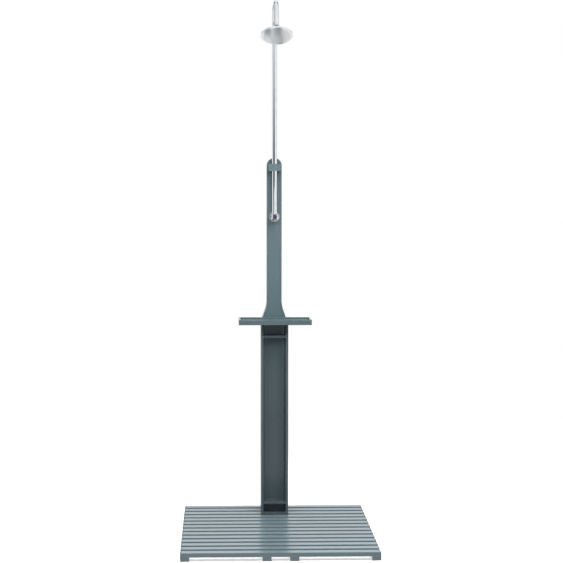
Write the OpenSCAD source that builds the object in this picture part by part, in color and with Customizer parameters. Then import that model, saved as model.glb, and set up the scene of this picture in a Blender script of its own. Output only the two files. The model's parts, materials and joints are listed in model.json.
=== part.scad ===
// Outdoor shower post: a slatted platform carries an H-section column with a soap
// tray, and a narrower post above it holds the valve, the riser and the shower head.
// The origin is at the middle of the platform's footprint, on the floor. The front
// faces -Y and +Z points up.

/* [Platform] */
// Width of the platform, left to right
platform_w = 800; // [700:10:900]
// Depth of the platform, front to back
platform_d = 800; // [760:10:900]
// Number of slats
slat_count = 14; // [12:1:14]
// Width of one slat
slat_w = 36; // [30:1:40]
// Thickness of one slat
slat_t = 17; // [15:1:20]
// Wall of the slat's tube
slat_wall = 2; // [1.5:0.5:3]
// Thickness of the plug's flange at each slat end
plug_t = 3; // [2:0.5:4]
// Length of the plug's stem inside the slat
plug_stem = 12; // [8:1:20]
// Width of one bearer
bearer_w = 36; // [30:1:40]
// Height of one bearer
bearer_h = 17; // [15:1:20]
// Distance from the middle to each inner bearer's centre line
bearer_inner_x = 55; // [52:1:60]

/* [Slat screws] */
// Radius of the slat screw's shank
slat_screw_r = 2.4; // [2:0.1:2.5]
// Radius of the slat screw's head
slat_screw_head_r = 4.5; // [4:0.1:5]
// Height of the slat screw's head
slat_screw_head_h = 3; // [2:0.5:4]
// Length of the screw's end inside the slat
slat_screw_end = 5; // [3:0.5:8]

/* [Column] */
// Width over the column's flanges, left to right
column_w = 120; // [116:1:124]
// Depth of the column's flanges, front to back
column_d = 120; // [116:1:124]
// Height of the H-section
column_h = 840; // [800:10:880]
// Distance from the platform's back edge to the column's middle
column_set = 108; // [104:1:116]
// Thickness of each flange
flange_t = 11; // [9:0.5:12]
// Thickness of the web
web_t = 6.5; // [5:0.5:8]
// Radius of the rolled fillet between web and flange
root_r = 12; // [8:1:14]
// Thickness of the foot plate
foot_plate_t = 8; // [6:1:12]
// Thickness of each stiffener plate
stiffener_t = 10; // [8:1:12]
// Height of the lower stiffener's underside above the foot plate
stiffener_low = 38; // [30:1:45]
// Distance from the column's top down to the upper stiffener
stiffener_high = 54; // [45:1:70]
// Clipped corner of each stiffener, clear of the rolled fillet
snipe = 15; // [14:1:18]

/* [Foot bolts] */
// Distance from the middle to each foot bolt, left to right
bolt_x = 25; // [22:1:28]
// Radius of the foot bolt's shank
bolt_r = 5; // [4:0.5:6]
// Radius of the foot bolt's countersunk head
bolt_head_r = 9.5; // [8.5:0.5:10]
// Height of the foot bolt's countersunk head
bolt_head_h = 5; // [4:0.5:5]
// Thickness of the clamp plate under the slats
clamp_plate_t = 9; // [7:0.5:10]
// Border of the clamp plate round the bolts, front and back
clamp_plate_border = 20; // [15:1:24]

/* [Soap tray] */
// Width of the tray
tray_w = 318; // [280:2:360]
// Depth of the tray, up to the post's front
tray_d = 130; // [110:2:150]
// Height of the tray's walls
tray_h = 22.5; // [21:0.5:30]
// Thickness of the tray's wall plates
tray_wall = 8; // [6:0.5:10]
// Thickness of the tray's floor
tray_floor_t = 6; // [5:0.5:7]
// Depth of the tray inside
tray_lip = 8.4; // [6:0.2:10]
// Number of drain holes
drain_count = 7; // [3:2:9]
// Radius of one drain hole
drain_r = 3.5; // [2.5:0.5:4.5]
// Distance between drain holes
drain_pitch = 30; // [20:1:30]
// Radius of the tray screw's shank
tray_screw_r = 3; // [2.5:0.5:3.5]
// Radius of the tray screw's countersunk head
tray_screw_head_r = 6; // [5:0.5:7]
// Height of the tray screw's head
tray_screw_head_h = 3.2; // [2.5:0.1:4]
// Distance from the middle to each tray screw
tray_screw_x = 30; // [20:1:40]

/* [Post] */
// Width of the post above its flared foot
post_w = 66; // [62:1:72]
// Height of the post above the column
post_h = 728; // [700:4:760]
// Thickness of the edge band
band_t = 8; // [6:0.5:9]
// Radius of the bend above the flare
flare_r = 145; // [120:5:160]
// Lean of the flare from upright, in degrees
flare_angle = 20; // [18:1:24]
// Thickness of the face plate
face_t = 6; // [5:0.5:8]
// Set-back of the face plate behind the band's front edges
face_inset = 1; // [0.5:0.5:3]

/* [Riser] */
// Outer diameter of the riser tube
riser_od = 22; // [20:0.5:24]
// Wall of the riser tube
riser_wall = 1.5; // [1:0.1:2]
// Distance from the face plate to the riser's axis
riser_gap = 25; // [23:0.5:28]
// Height of the gooseneck's top above the post's top
riser_rise = 682; // [600:4:780]
// Bend radius of the gooseneck's centre line
bend_r = 95; // [80:5:120]
// Angle that the gooseneck turns, in degrees
bend_angle = 154; // [140:1:165]
// Bending draws the tube in by this much all round
bend_draw = 0.05; // [0.02:0.01:0.2]
// Straight length of the arm after the bend
arm_straight = 68; // [40:1:90]
// Width of the riser clamp block
clamp_w = 54; // [50:1:60]
// Height of the riser clamp block
clamp_h = 32; // [26:1:40]
// Distance from the post's top down to the clamp block's middle
clamp_down = 42; // [40:1:110]
// Wall of the clamp block in front of the riser
clamp_wall = 5; // [4:0.5:8]
// Rounding of the clamp block's front corners
clamp_round = 4; // [2:0.5:6]
// Radius of a clamp screw's shank
clamp_screw_r = 3; // [2.5:0.5:3.5]
// Radius of a clamp screw's head
clamp_screw_head_r = 5; // [4.5:0.5:5.5]
// Height of a clamp screw's head
clamp_screw_head_h = 6; // [4:0.5:6]
// Length of a clamp screw inside the block
clamp_screw_bite = 12; // [8:1:14]

/* [Valve] */
// Height of the valve's axis above the column
valve_up = 468; // [420:4:520]
// Radius of the valve's barrel in front of the post
barrel_r = 17.5; // [17.5:0.5:19]
// Length of the barrel in front of the escutcheon
barrel_l = 37; // [36.5:0.5:42]
// Radius of the valve's spigot through the post
spigot_r = 15.5; // [14.5:0.5:16]
// Gap between the spigot's end and the upper elbow's vertical leg
spigot_gap = 1; // [0.5:0.5:2]
// Radius of the cartridge's chamber
chamber_r = 12.5; // [12:0.1:13]
// Radius of the water way through the spigot
water_r = 6.5; // [5.5:0.5:7]
// Depth of the riser's socket in the valve
socket_depth = 6; // [5:0.5:7]
// Height of the socket's boss above the barrel
boss_rise = 2; // [1:0.5:4]
// Wall of the socket's boss
boss_wall = 2; // [1.5:0.5:3]
// Gap between the escutcheon and the edge band beside it
escutcheon_gap = 0.3; // [0.2:0.1:2]
// Thickness of the escutcheon
escutcheon_t = 4; // [3:0.5:5]
// Bevel of the escutcheon's rim
escutcheon_bevel = 1.5; // [1:0.1:2]
// Thickness of the back nut
backnut_t = 8; // [6:1:9]
// Radius over the back nut's corners
backnut_r = 22; // [20:0.5:23]
// Radius of the knob over its lobes
knob_r = 17; // [17:0.5:20]
// Number of lobes on the knob
lobe_count = 6; // [5:1:8]
// Radius of each hollow between the lobes
hollow_r = 9; // [7:0.5:10]
// Depth of each hollow between the lobes
hollow_depth = 3.2; // [2:0.2:4]
// Length of the knob
knob_l = 19; // [16:1:24]
// Radius of the dished centre of the knob
dish_r = 9; // [8:0.5:10]
// Depth of the dished centre
dish_depth = 6; // [5:0.5:7]

/* [Shower head] */
// Radius of the head
head_r = 68; // [60:1:75]
// Height of the head's rim
rim_h = 8; // [7:0.5:12]
// Width of the rim round the spray plate
rim_w = 7; // [5:0.5:9]
// Rise of the dome above the rim
dome_rise = 9; // [7:0.5:14]
// Wall of the dome
dome_wall = 2.5; // [2:0.1:3]
// Thickness of the spray plate
spray_t = 3; // [2:0.5:3]
// Number of nozzle rings
ring_count = 5; // [3:1:6]
// Radius of one nozzle at the plate
nozzle_r = 1.6; // [1.2:0.1:2]
// Length of a nozzle beyond the plate
nozzle_out = 1.4; // [1:0.2:2]
// Radius of the ball
ball_r = 11; // [10:0.25:11.5]
// Distance from the arm's end to the ball's centre
ball_drop = 20; // [19.5:0.5:24]

/* [Water supply] */
// Outer radius of the supply pipe
supply_r = 7.5; // [6:0.5:8]
// Wall of the supply pipe
supply_wall = 1; // [0.8:0.1:1.5]
// Distance from the face plate's front back to the supply pipe
supply_back = 36; // [34:0.5:38]
// Height of the water inlet above the floor
inlet_z = 132; // [125:1:160]
// Outer radius of the inlet's thread, half an inch nominal
inlet_r = 10.48; // [10:0.01:11]
// Radius of the inlet's bore
inlet_bore_r = 6.5; // [5:0.5:7]
// Length of the inlet's thread
inlet_l = 13; // [10:1:16]
// Number of pipe clips on the column's web
clip_count = 2; // [1:1:3]

/* [Fits] */
// Clearance round a screw or bolt in its hole
hole_gap = 0.2; // [0.1:0.05:0.3]
// Clearance between pieces that are fixed in each other
fixed_gap = 0.05; // [0.03:0.01:0.1]
// Clearance between pieces that turn in each other
turn_gap = 0.05; // [0.03:0.01:0.1]
// Clearance between the ball and its seats
ball_gap = 0.3; // [0.2:0.05:0.4]

/* [Hidden] */
$fn = 64;
// One overrun serves all cuts
over = 1;

// Platform levels and pitches
platform_z = bearer_h + slat_t;
slat_pitch = (platform_d - slat_w) / (slat_count - 1);
bearer_outer_x = (platform_w - bearer_w) / 2;
bearer_xs = [-bearer_outer_x, -bearer_inner_x, bearer_inner_x, bearer_outer_x];
slat_screw_sink = 0.5;

// Column levels and planes
column_y = platform_d / 2 - column_set;
column_z = platform_z + foot_plate_t;
column_top = column_z + column_h;
column_front = column_y - column_d / 2;
column_back = column_y + column_d / 2;
web_front = column_y - web_t / 2;
web_back = web_front + web_t;
recess_d = (column_d - web_t) / 2;
recess_w = column_w - 2 * flange_t;

// The two slats that lie under the column's front and back recess
front_slat = round((column_y - (column_d + web_t) / 4 + platform_d / 2 - slat_w / 2) / slat_pitch);
bolt_ys = [slat_y(front_slat), slat_y(front_slat + 1)];

// Tray levels and planes
tray_back_y = web_front;
tray_front_y = tray_back_y - tray_d;
tray_top = column_top + tray_h;
tray_floor_top = tray_top - tray_lip;
tray_seat_t = tray_h - tray_lip - tray_floor_t;
tray_inner_w = tray_w - 2 * tray_wall;
tray_screw_y = (column_front + tray_back_y - tray_wall) / 2;
drain_y = (tray_front_y + tray_wall + column_front) / 2;

// Post outline, worked out from the column's top
flare_line_h = ((column_w - post_w) / 2 - flare_r * (1 - cos(flare_angle))) / tan(flare_angle);
flare_h = flare_line_h + flare_r * sin(flare_angle);
post_d = column_back - web_front;
post_top = column_top + post_h;
valve_z = column_top + valve_up;
face_y = web_front + face_inset;
face_back = face_y + face_t;

// Riser path
riser_r = riser_od / 2;
riser_y = face_y - riser_gap;
arch_top = post_top + riser_rise;
bend_z = arch_top - riser_r - bend_r;
arm_tilt = bend_angle - 180;
riser_bottom = valve_z + barrel_r + boss_rise - socket_depth;
clamp_z = post_top - clamp_down;
clamp_front = riser_y - riser_r - clamp_wall;
clamp_screw_x = (clamp_w / 2 + riser_r) / 2;
clamp_pad_x = post_w / 2 - band_t - hole_gap;
grub_r = clamp_screw_r;
grub_l = clamp_w / 2 - riser_r - clamp_wall / 2;
hex_share = 0.55;

// Valve lengths, measured forward from the face plate
escutcheon_r = post_w / 2 - band_t - escutcheon_gap;
boss_r = riser_r + boss_wall;
barrel_end = escutcheon_t + barrel_l;
chamber_floor = escutcheon_t + 2 * boss_wall;
spindle_r = 4.5;
knob_edge = 2;
spindle_l = knob_l - dish_depth - knob_edge;
cartridge_bore_r = spindle_r + turn_gap;
disc_t = 3;
disc_r = chamber_r - boss_wall;
knob_gap = 1.5;
knob_back = barrel_end + knob_gap;
knob_front = knob_back + knob_l;
knob_screw_r = 2;
knob_screw_head_r = 3.5;
knob_screw_head_h = 2.5;
cap_t = 1.6;

// Supply levels
supply_y = face_y + supply_back;
elbow_wall = 3.5;
elbow_r = supply_r + elbow_wall;
spigot_end = supply_back - elbow_r - spigot_gap;
elbow_l = 26;
elbow_bite = 12;
supply_top = valve_z - elbow_bite;
supply_bottom = inlet_z + elbow_bite;
wall_elbow_r = 13;
flange_plate_w = 56;
flange_plate_h = 34;
flange_plate_t = 4;
elbow_screw_x = 20;
elbow_screw_r = 2.5;
elbow_screw_head_r = 4;
elbow_screw_head_h = 3;
nipple_bite = 8;
nipple_hex_r = 14;
nipple_hex_t = 6;
clip_l = 14;
clip_wall = 2.4;
clip_stem_r = 4;
clip_foot_r = 10;
clip_foot_t = 3;
clip_post_z = column_top + post_h / 3;
stiffener_top_z = column_top - stiffener_high - stiffener_t;
clip_span = stiffener_top_z - inlet_z;

// Shower head, measured from the ball's centre up the arm
socket_r = ball_r + ball_gap;
stud_r = 6;
neck_r = 4.5;
stud_flange_r = 8;
stud_flange_t = 1.9;
arm_flange_r = 13;
arm_flange_t = 4;
arm_plug_l = 24;
groove_t = 1.2;
groove_depth = 1;
groove_r = stud_r - groove_depth;
stud_clip_r = stud_r + groove_depth;
stud_tail = 2.6;
stud_bore_r = 3;
nut_r = 17;
nut_top_r = 13;
nut_top_drop = 1.5;
nut_top = ball_r - nut_top_drop;
nut_taper = 5.5;
nut_taper_z = nut_top - nut_taper;
nut_hold = 2.2;
nut_mouth_r = ball_r - nut_hold;
stem_wall = 2.2;
stem_r = socket_r + stem_wall;
stem_top = -2;
seat_under = 3;
seat_low = -(ball_r + seat_under);
seat_top = -5;
seat_bore_r = 4;
dome_top = seat_low - dome_wall;
dome_base = dome_top - dome_rise;
face_plane = dome_base - rim_h;
rim_round = 1.5;
spray_set = 0.5;
spray_r = head_r - rim_w - hole_gap;
mat_t = 1.5;
ledge_w = 3;
ring_pitch = (spray_r - rim_w) / ring_count;

// Every separate piece has its own name
SLAT_NAMES = [for (i = [1:slat_count]) str("slat_", i < 10 ? "0" : "", i)];
BEARER_NAMES = ["bearer_left", "bearer_mid_left", "bearer_mid_right", "bearer_right"];
PLATFORM_NAMES = ["slat_end_plugs", "slat_screws", "clamp_plate", "foot_bolts"];
COLUMN_NAMES = ["foot_plate", "column", "stiffeners_low", "stiffeners_high"];
TRAY_NAMES = [
    "tray_seat_plate", "tray_floor", "tray_cross_plates", "tray_side_plates", "tray_screws"
];
POST_NAMES = ["post_face_plate", "post_edge_band", "riser_clamp", "clamp_screws", "clamp_grub_screw"];
WATER_NAMES = [
    "riser_tube", "valve_body", "escutcheon", "valve_back_nut", "cartridge", "fixed_disc",
    "turning_disc", "knob", "knob_screw", "knob_cap", "upper_elbow", "supply_pipe",
    "pipe_clips", "wall_elbow", "elbow_screws", "hose_nipple"
];
HEAD_NAMES = [
    "arm_plug", "ball_stud", "stud_clip", "neck_nut", "ball_seat", "head_shell",
    "spray_plate", "nozzle_mat"
];

// Colours of the finishes
PAINT = "#66767c";
SHADE = "#5a686e";
CHROME = "#d9dde0";
BRASS = "#b9975b";
NAVY = "#39335e";
DARK = "#2b2d30";
PALE = "#e8e6df";
STEEL = "#a9adb0";

// Centre of a slat, front to back, counted from the front
function slat_y(i) = -platform_d / 2 + slat_w / 2 + i * slat_pitch;

// One end of the outline's curve at a given inset: where the bend meets the flare
function bend_end(inset) = [
    post_w / 2 + flare_r - (flare_r + inset) * cos(flare_angle),
    flare_h - (flare_r + inset) * sin(flare_angle)
];

// Plain ring along +Z
module ring(r_out, r_in, h) {
    difference() {
        cylinder(h = h, r = r_out);
        translate([0, 0, -over]) cylinder(h = h + 2 * over, r = r_in);
    }
}

// Countersunk screw with its flat top at zero and its shank along -Z
module countersunk(head_r, head_h, shank_r, length) {
    translate([0, 0, -head_h]) cylinder(h = head_h, r1 = shank_r, r2 = head_r);
    translate([0, 0, -length]) cylinder(h = length - head_h, r = shank_r);
}

// Hole for a countersunk screw, open at both ends
module countersink(head_r, head_h, shank_r, length) {
    r = shank_r + hole_gap;
    top_r = head_r + hole_gap;
    translate([0, 0, -head_h]) cylinder(h = head_h, r1 = r, r2 = top_r);
    cylinder(h = over, r = top_r);
    translate([0, 0, -length - over]) cylinder(h = length + over - head_h, r = r);
}

// Foot bolts and their holes share these places
module at_bolts() {
    for (x = [-bolt_x, bolt_x], y = bolt_ys) translate([x, y, column_z]) children();
}

// Every crossing of a slat and a bearer
module at_crossings() {
    for (i = [0:slat_count - 1], x = bearer_xs) translate([x, slat_y(i), 0]) children();
}

// A slat is a flat tube with screw holes below, and bolt holes under the column
module slat(i) {
    length = platform_w - 2 * plug_t;
    color(PAINT)
    translate([0, slat_y(i), bearer_h])
    difference() {
        translate([-length / 2, -slat_w / 2, 0]) cube([length, slat_w, slat_t]);
        translate([-length / 2 - over, slat_wall - slat_w / 2, slat_wall])
            cube([length + 2 * over, slat_w - 2 * slat_wall, slat_t - 2 * slat_wall]);
        for (x = bearer_xs)
            translate([x, 0, -over]) cylinder(h = slat_wall + 2 * over, r = slat_screw_r + hole_gap);
        if (i == front_slat || i == front_slat + 1)
            for (x = [-bolt_x, bolt_x])
                translate([x, 0, -over]) cylinder(h = slat_t + 2 * over, r = bolt_r + hole_gap);
    }
}

// Plugs close both ends of every slat
module slat_end_plugs() {
    stem_w = slat_w - 2 * slat_wall - 2 * fixed_gap;
    stem_h = slat_t - 2 * slat_wall - 2 * fixed_gap;
    color(SHADE)
    for (i = [0:slat_count - 1], side = [-1, 1])
        translate([side * (platform_w / 2 - plug_t), slat_y(i), bearer_h + slat_t / 2])
        rotate([0, 90 * side, 0]) {
            translate([-slat_t / 2, -slat_w / 2, 0]) cube([slat_t, slat_w, plug_t]);
            translate([-stem_h / 2, -stem_w / 2, -plug_stem]) cube([stem_h, stem_w, plug_stem]);
        }
}

// A bearer is a flat bar with one counterbored hole under each slat
module bearer(x) {
    color(PAINT)
    difference() {
        translate([x - bearer_w / 2, -platform_d / 2, 0]) cube([bearer_w, platform_d, bearer_h]);
        for (i = [0:slat_count - 1])
            translate([x, slat_y(i), -over]) {
                cylinder(h = bearer_h + 2 * over, r = slat_screw_r + hole_gap);
                cylinder(
                    h = over + slat_screw_sink + slat_screw_head_h,
                    r = slat_screw_head_r + hole_gap
                );
            }
    }
}

// Pan-head screws from below hold every slat on every bearer
module slat_screws() {
    color(STEEL)
    at_crossings() translate([0, 0, slat_screw_sink]) {
        cylinder(h = slat_screw_head_h, r = slat_screw_head_r);
        cylinder(
            h = bearer_h - slat_screw_sink + slat_wall + slat_screw_end,
            r = slat_screw_r
        );
    }
}

// The clamp plate lies under the slats, between the inner bearers
module clamp_plate() {
    w = 2 * (bearer_inner_x - bearer_w / 2 - hole_gap);
    d = bolt_ys[1] - bolt_ys[0] + 2 * clamp_plate_border;
    color(STEEL)
    difference() {
        translate([-w / 2, bolt_ys[0] - clamp_plate_border, bearer_h - clamp_plate_t])
            cube([w, d, clamp_plate_t]);
        at_bolts() translate([0, 0, -column_z]) cylinder(h = column_z, r = bolt_r + fixed_gap);
    }
}

// Countersunk bolts run from the foot plate through two slats to the clamp plate
module foot_bolts() {
    length = column_z - bearer_h + clamp_plate_t;
    color(STEEL) at_bolts() countersunk(bolt_head_r, bolt_head_h, bolt_r, length);
}

// The foot plate has the column's footprint
module foot_plate() {
    color(PAINT)
    difference() {
        translate([-column_w / 2, column_front, platform_z])
            cube([column_w, column_d, foot_plate_t]);
        at_bolts() countersink(bolt_head_r, bolt_head_h, bolt_r, foot_plate_t);
    }
}

// Section of the column: two flanges, the web between them and four rolled fillets
module h_section() {
    for (side = [-1, 1])
        translate([side * (column_w - flange_t) / 2, 0])
            square([flange_t, column_d], center = true);
    square([recess_w, web_t], center = true);
    for (sx = [-1, 1], sy = [-1, 1])
        scale([sx, sy])
        translate([recess_w / 2 - root_r, web_t / 2])
        difference() {
            square(root_r);
            translate([0, root_r]) circle(root_r);
        }
}

// The column stands on the foot plate, its web facing the front
module column() {
    color(PAINT)
    difference() {
        translate([0, column_y, column_z]) linear_extrude(column_h) h_section();
        for (x = [-elbow_screw_x, elbow_screw_x])
            translate([x, web_front - over, inlet_z])
            rotate([-90, 0, 0])
            cylinder(h = web_t + 2 * over, r = elbow_screw_r + fixed_gap);
    }
}

// A stiffener fills the recess, with corners clipped clear of the rolled fillets
module stiffener_outline() {
    w = recess_w / 2;
    polygon([
        [-w, -snipe], [snipe - w, 0], [w - snipe, 0], [w, -snipe],
        [w, -recess_d], [-w, -recess_d]
    ]);
}

// One stiffener plate in the front recess and one in the rear recess
module stiffeners(z, pipe_hole) {
    color(PAINT) {
        translate([0, web_front, z]) linear_extrude(stiffener_t) stiffener_outline();
        difference() {
            translate([0, web_back, z])
                linear_extrude(stiffener_t) mirror([0, 1]) stiffener_outline();
            if (pipe_hole)
                translate([0, supply_y, z - over])
                    cylinder(h = stiffener_t + 2 * over, r = supply_r + 2 * hole_gap);
        }
    }
}

// The seat plate bridges the flanges under the tray
module tray_seat_plate() {
    color(PAINT)
    difference() {
        translate([-column_w / 2, column_front, column_top])
            cube([column_w, tray_back_y - tray_wall - hole_gap - column_front, tray_seat_t]);
        at_tray_screws() translate([0, 0, -tray_floor_t - tray_seat_t - over])
            cylinder(h = tray_seat_t + 2 * over, r = tray_screw_r + fixed_gap);
    }
}

// Tray screws and their holes share these places
module at_tray_screws() {
    for (x = [-tray_screw_x, tray_screw_x])
        translate([x, tray_screw_y, tray_floor_top]) children();
}

// The tray's floor lies between its wall plates and drains through a row of holes
module tray_floor() {
    d = tray_d - 2 * tray_wall;
    color(PAINT)
    difference() {
        translate([-tray_inner_w / 2, tray_front_y + tray_wall, tray_floor_top - tray_floor_t])
            cube([tray_inner_w, d, tray_floor_t]);
        for (i = [0:drain_count - 1])
            translate([
                (i - (drain_count - 1) / 2) * drain_pitch,
                drain_y,
                tray_floor_top - tray_floor_t - over
            ])
            cylinder(h = tray_floor_t + 2 * over, r = drain_r);
        at_tray_screws()
            countersink(tray_screw_head_r, tray_screw_head_h, tray_screw_r, tray_floor_t);
    }
}

// Front and back wall plates of the tray, between the side plates
module tray_cross_plates() {
    color(PAINT)
    for (y = [tray_front_y, tray_back_y - tray_wall])
        translate([-tray_inner_w / 2, y, column_top]) cube([tray_inner_w, tray_wall, tray_h]);
}

// Side wall plates of the tray, over its full depth
module tray_side_plates() {
    color(PAINT)
    for (side = [-1, 1])
        translate([side * (tray_w - tray_wall) / 2 - tray_wall / 2, tray_front_y, column_top])
            cube([tray_wall, tray_d, tray_h]);
}

// Countersunk screws clamp the tray's floor to the seat plate
module tray_screws() {
    color(STEEL)
    at_tray_screws()
        countersunk(tray_screw_head_r, tray_screw_head_h, tray_screw_r, tray_floor_t + tray_seat_t);
}

// Outline of the post at a given inset, from its flared foot to its round top
module post_outline(inset, below) {
    bend = bend_end(inset);
    foot_x = bend[0] + (bend[1] + below) * tan(flare_angle);
    half_w = post_w / 2 - inset;
    round_z = post_h - post_w / 2;
    polygon([[-foot_x, -below], [foot_x, -below], bend, [-bend[0], bend[1]]]);
    difference() {
        translate([-bend[0], bend[1]]) square([2 * bend[0], flare_h - bend[1]]);
        for (side = [-1, 1])
            translate([side * (post_w / 2 + flare_r), flare_h]) circle(flare_r + inset, $fn = 180);
    }
    translate([-half_w, flare_h]) square([2 * half_w, round_z - flare_h]);
    translate([0, round_z]) circle(half_w);
}

// Stands an outline up on the column's top, from the given plane backwards
module stand_up(y_front, depth) {
    translate([0, y_front + depth, column_top])
    rotate([90, 0, 0])
    linear_extrude(depth)
    children();
}

// The face plate fills the band's outline, and holds the valve and the clamp screws
module post_face_plate() {
    color(PAINT)
    difference() {
        stand_up(face_y, face_t) post_outline(band_t + fixed_gap, 0);
        translate([0, face_y - over, valve_z])
            rotate([-90, 0, 0])
            cylinder(h = face_t + 2 * over, r = spigot_r + hole_gap);
        at_clamp_screws() translate([0, 0, -over])
            cylinder(h = face_t + 2 * over, r = clamp_screw_r + hole_gap);
    }
}

// The edge band runs up one side, over the round top and down the other side
module post_edge_band() {
    color(PAINT)
    stand_up(web_front, post_d)
    difference() {
        post_outline(0, 0);
        post_outline(band_t, over);
    }
}

// Clamp screws point forward, and start at the face plate's back
module at_clamp_screws() {
    for (x = [-clamp_screw_x, clamp_screw_x])
        translate([x, face_back, clamp_z]) rotate([90, 0, 0]) children();
}

// The clamp block sits on the edge band, and its pad reaches the face plate between
module riser_clamp() {
    color(PAINT)
    difference() {
        translate([0, 0, clamp_z - clamp_h / 2])
        linear_extrude(clamp_h)
        difference() {
            union() {
                translate([-clamp_w / 2, clamp_front]) square([clamp_w, web_front - clamp_front]);
                translate([-clamp_pad_x, clamp_front])
                    square([2 * clamp_pad_x, face_y - clamp_front]);
            }
            for (side = [-1, 1])
                translate([side * clamp_w / 2, clamp_front])
                scale([-side, 1])
                difference() {
                    translate([-over, -over]) square(clamp_round + over);
                    translate([clamp_round, clamp_round]) circle(clamp_round);
                }
        }
        translate([0, riser_y, clamp_z - clamp_h / 2 - over])
            cylinder(h = clamp_h + 2 * over, r = riser_r + fixed_gap);
        at_clamp_screws() translate([0, 0, face_t - over])
            cylinder(h = clamp_screw_bite + over, r = clamp_screw_r + fixed_gap);
        translate([0, riser_y, clamp_z])
            rotate([0, 90, 0])
            cylinder(h = clamp_w, r = grub_r + fixed_gap);
    }
}

// Socket-head screws from behind hold the clamp block
module clamp_screws() {
    color(STEEL)
    at_clamp_screws() {
        difference() {
            translate([0, 0, -clamp_screw_head_h])
                cylinder(h = clamp_screw_head_h, r = clamp_screw_head_r);
            translate([0, 0, -clamp_screw_head_h - over])
                cylinder(h = clamp_screw_head_h / 2 + over, r = clamp_screw_r, $fn = 6);
        }
        cylinder(h = face_t + clamp_screw_bite - hole_gap, r = clamp_screw_r);
    }
}

// A grub screw in the block's right side bears on the riser
module clamp_grub_screw() {
    color(STEEL)
    translate([riser_r + fixed_gap, riser_y, clamp_z])
    rotate([0, 90, 0])
    difference() {
        cylinder(h = grub_l, r = grub_r);
        translate([0, 0, grub_l / 2]) cylinder(h = grub_l, r = grub_r * hex_share, $fn = 6);
    }
}

// Places children where the riser's bend starts, on its axis
module at_bend() {
    translate([0, riser_y, bend_z]) children();
}

// Places children at the arm's end, with +Z back up the arm, seen from the bend's start
module at_arm_tip() {
    translate([0, bend_r * (cos(bend_angle) - 1), bend_r * sin(bend_angle)])
    rotate([arm_tilt, 0, 0])
    translate([0, 0, -arm_straight])
    children();
}

// Solid of the riser's path at a given radius, a little longer at both ends
module riser_path(r, extra) {
    straight = bend_z - riser_bottom + extra;
    translate([0, 0, -straight]) cylinder(h = straight, r = r);
    translate([0, -bend_r, 0])
        rotate([90, 0, 90])
        rotate_extrude(angle = bend_angle)
        translate([bend_r, 0]) circle(r - bend_draw);
    at_arm_tip() translate([0, 0, -extra]) cylinder(h = arm_straight + extra, r = r);
}

// The riser stands straight, bends over forward and ends in a short straight arm
module riser_tube() {
    color(CHROME)
    at_bend()
    difference() {
        riser_path(riser_r, 0);
        riser_path(riser_r - riser_wall, over);
    }
}

// Places children on the valve's axis at the face plate, with +Z to the front
module at_valve() {
    translate([0, face_y, valve_z]) rotate([90, 0, 0]) children();
}

// The valve's casting: spigot through the post, barrel in front and riser socket on top
module valve_body() {
    color(CHROME)
    at_valve()
    difference() {
        union() {
            translate([0, 0, -spigot_end]) cylinder(h = spigot_end + escutcheon_t, r = spigot_r);
            translate([0, 0, escutcheon_t]) cylinder(h = barrel_l, r = barrel_r);
            translate([0, 0, riser_gap])
                rotate([-90, 0, 0]) cylinder(h = barrel_r + boss_rise, r = boss_r);
        }
        translate([0, 0, -spigot_end - over])
            cylinder(h = spigot_end + chamber_floor + 2 * over, r = water_r);
        translate([0, 0, chamber_floor]) cylinder(h = barrel_end, r = chamber_r);
        translate([0, 0, riser_gap])
            rotate([-90, 0, 0]) cylinder(h = barrel_r + boss_rise, r = water_r);
        translate([0, riser_bottom - valve_z, riser_gap])
            rotate([-90, 0, 0]) cylinder(h = socket_depth + over, r = riser_r + fixed_gap);
    }
}

// The escutcheon is a bevelled ring against the face plate
module escutcheon() {
    color(PAINT)
    at_valve()
    difference() {
        union() {
            cylinder(h = escutcheon_t - escutcheon_bevel, r = escutcheon_r);
            translate([0, 0, escutcheon_t - escutcheon_bevel])
                cylinder(h = escutcheon_bevel, r1 = escutcheon_r, r2 = escutcheon_r - escutcheon_bevel);
        }
        translate([0, 0, -over]) cylinder(h = escutcheon_t + 2 * over, r = spigot_r + hole_gap);
    }
}

// A hexagon nut behind the face plate draws the valve tight
module valve_back_nut() {
    color(BRASS)
    at_valve()
    translate([0, 0, -face_t - backnut_t])
    difference() {
        cylinder(h = backnut_t, r = backnut_r, $fn = 6);
        translate([0, 0, -over]) cylinder(h = backnut_t + 2 * over, r = spigot_r + fixed_gap);
    }
}

// The lower ceramic disc stays still, and water comes through its quarter-round port
module fixed_disc() {
    color(PALE)
    at_valve() translate([0, 0, chamber_floor]) difference() {
        cylinder(h = disc_t, r = disc_r);
        disc_port();
    }
}

// Quarter-round port of the ceramic discs
module disc_port() {
    port_r = disc_r - boss_wall;
    translate([0, 0, -over])
    intersection() {
        cylinder(h = disc_t + 2 * over, r = port_r);
        translate([boss_wall / 2, boss_wall / 2, 0]) cube([port_r, port_r, disc_t + 2 * over]);
    }
}

// The turning disc and the spindle are one unit that the knob drives
module turning_disc() {
    base = chamber_floor + disc_t;
    plate = disc_t - fixed_gap;
    reach = knob_back + spindle_l;
    color(PALE)
    at_valve() {
        translate([0, 0, base + fixed_gap]) difference() {
            cylinder(h = plate, r = disc_r);
            rotate(90) disc_port();
        }
        difference() {
            translate([0, 0, base + disc_t]) cylinder(h = reach - base - disc_t, r = spindle_r);
            translate([0, 0, knob_back])
                cylinder(h = spindle_l + over, r = knob_screw_r + fixed_gap);
        }
    }
}

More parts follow.
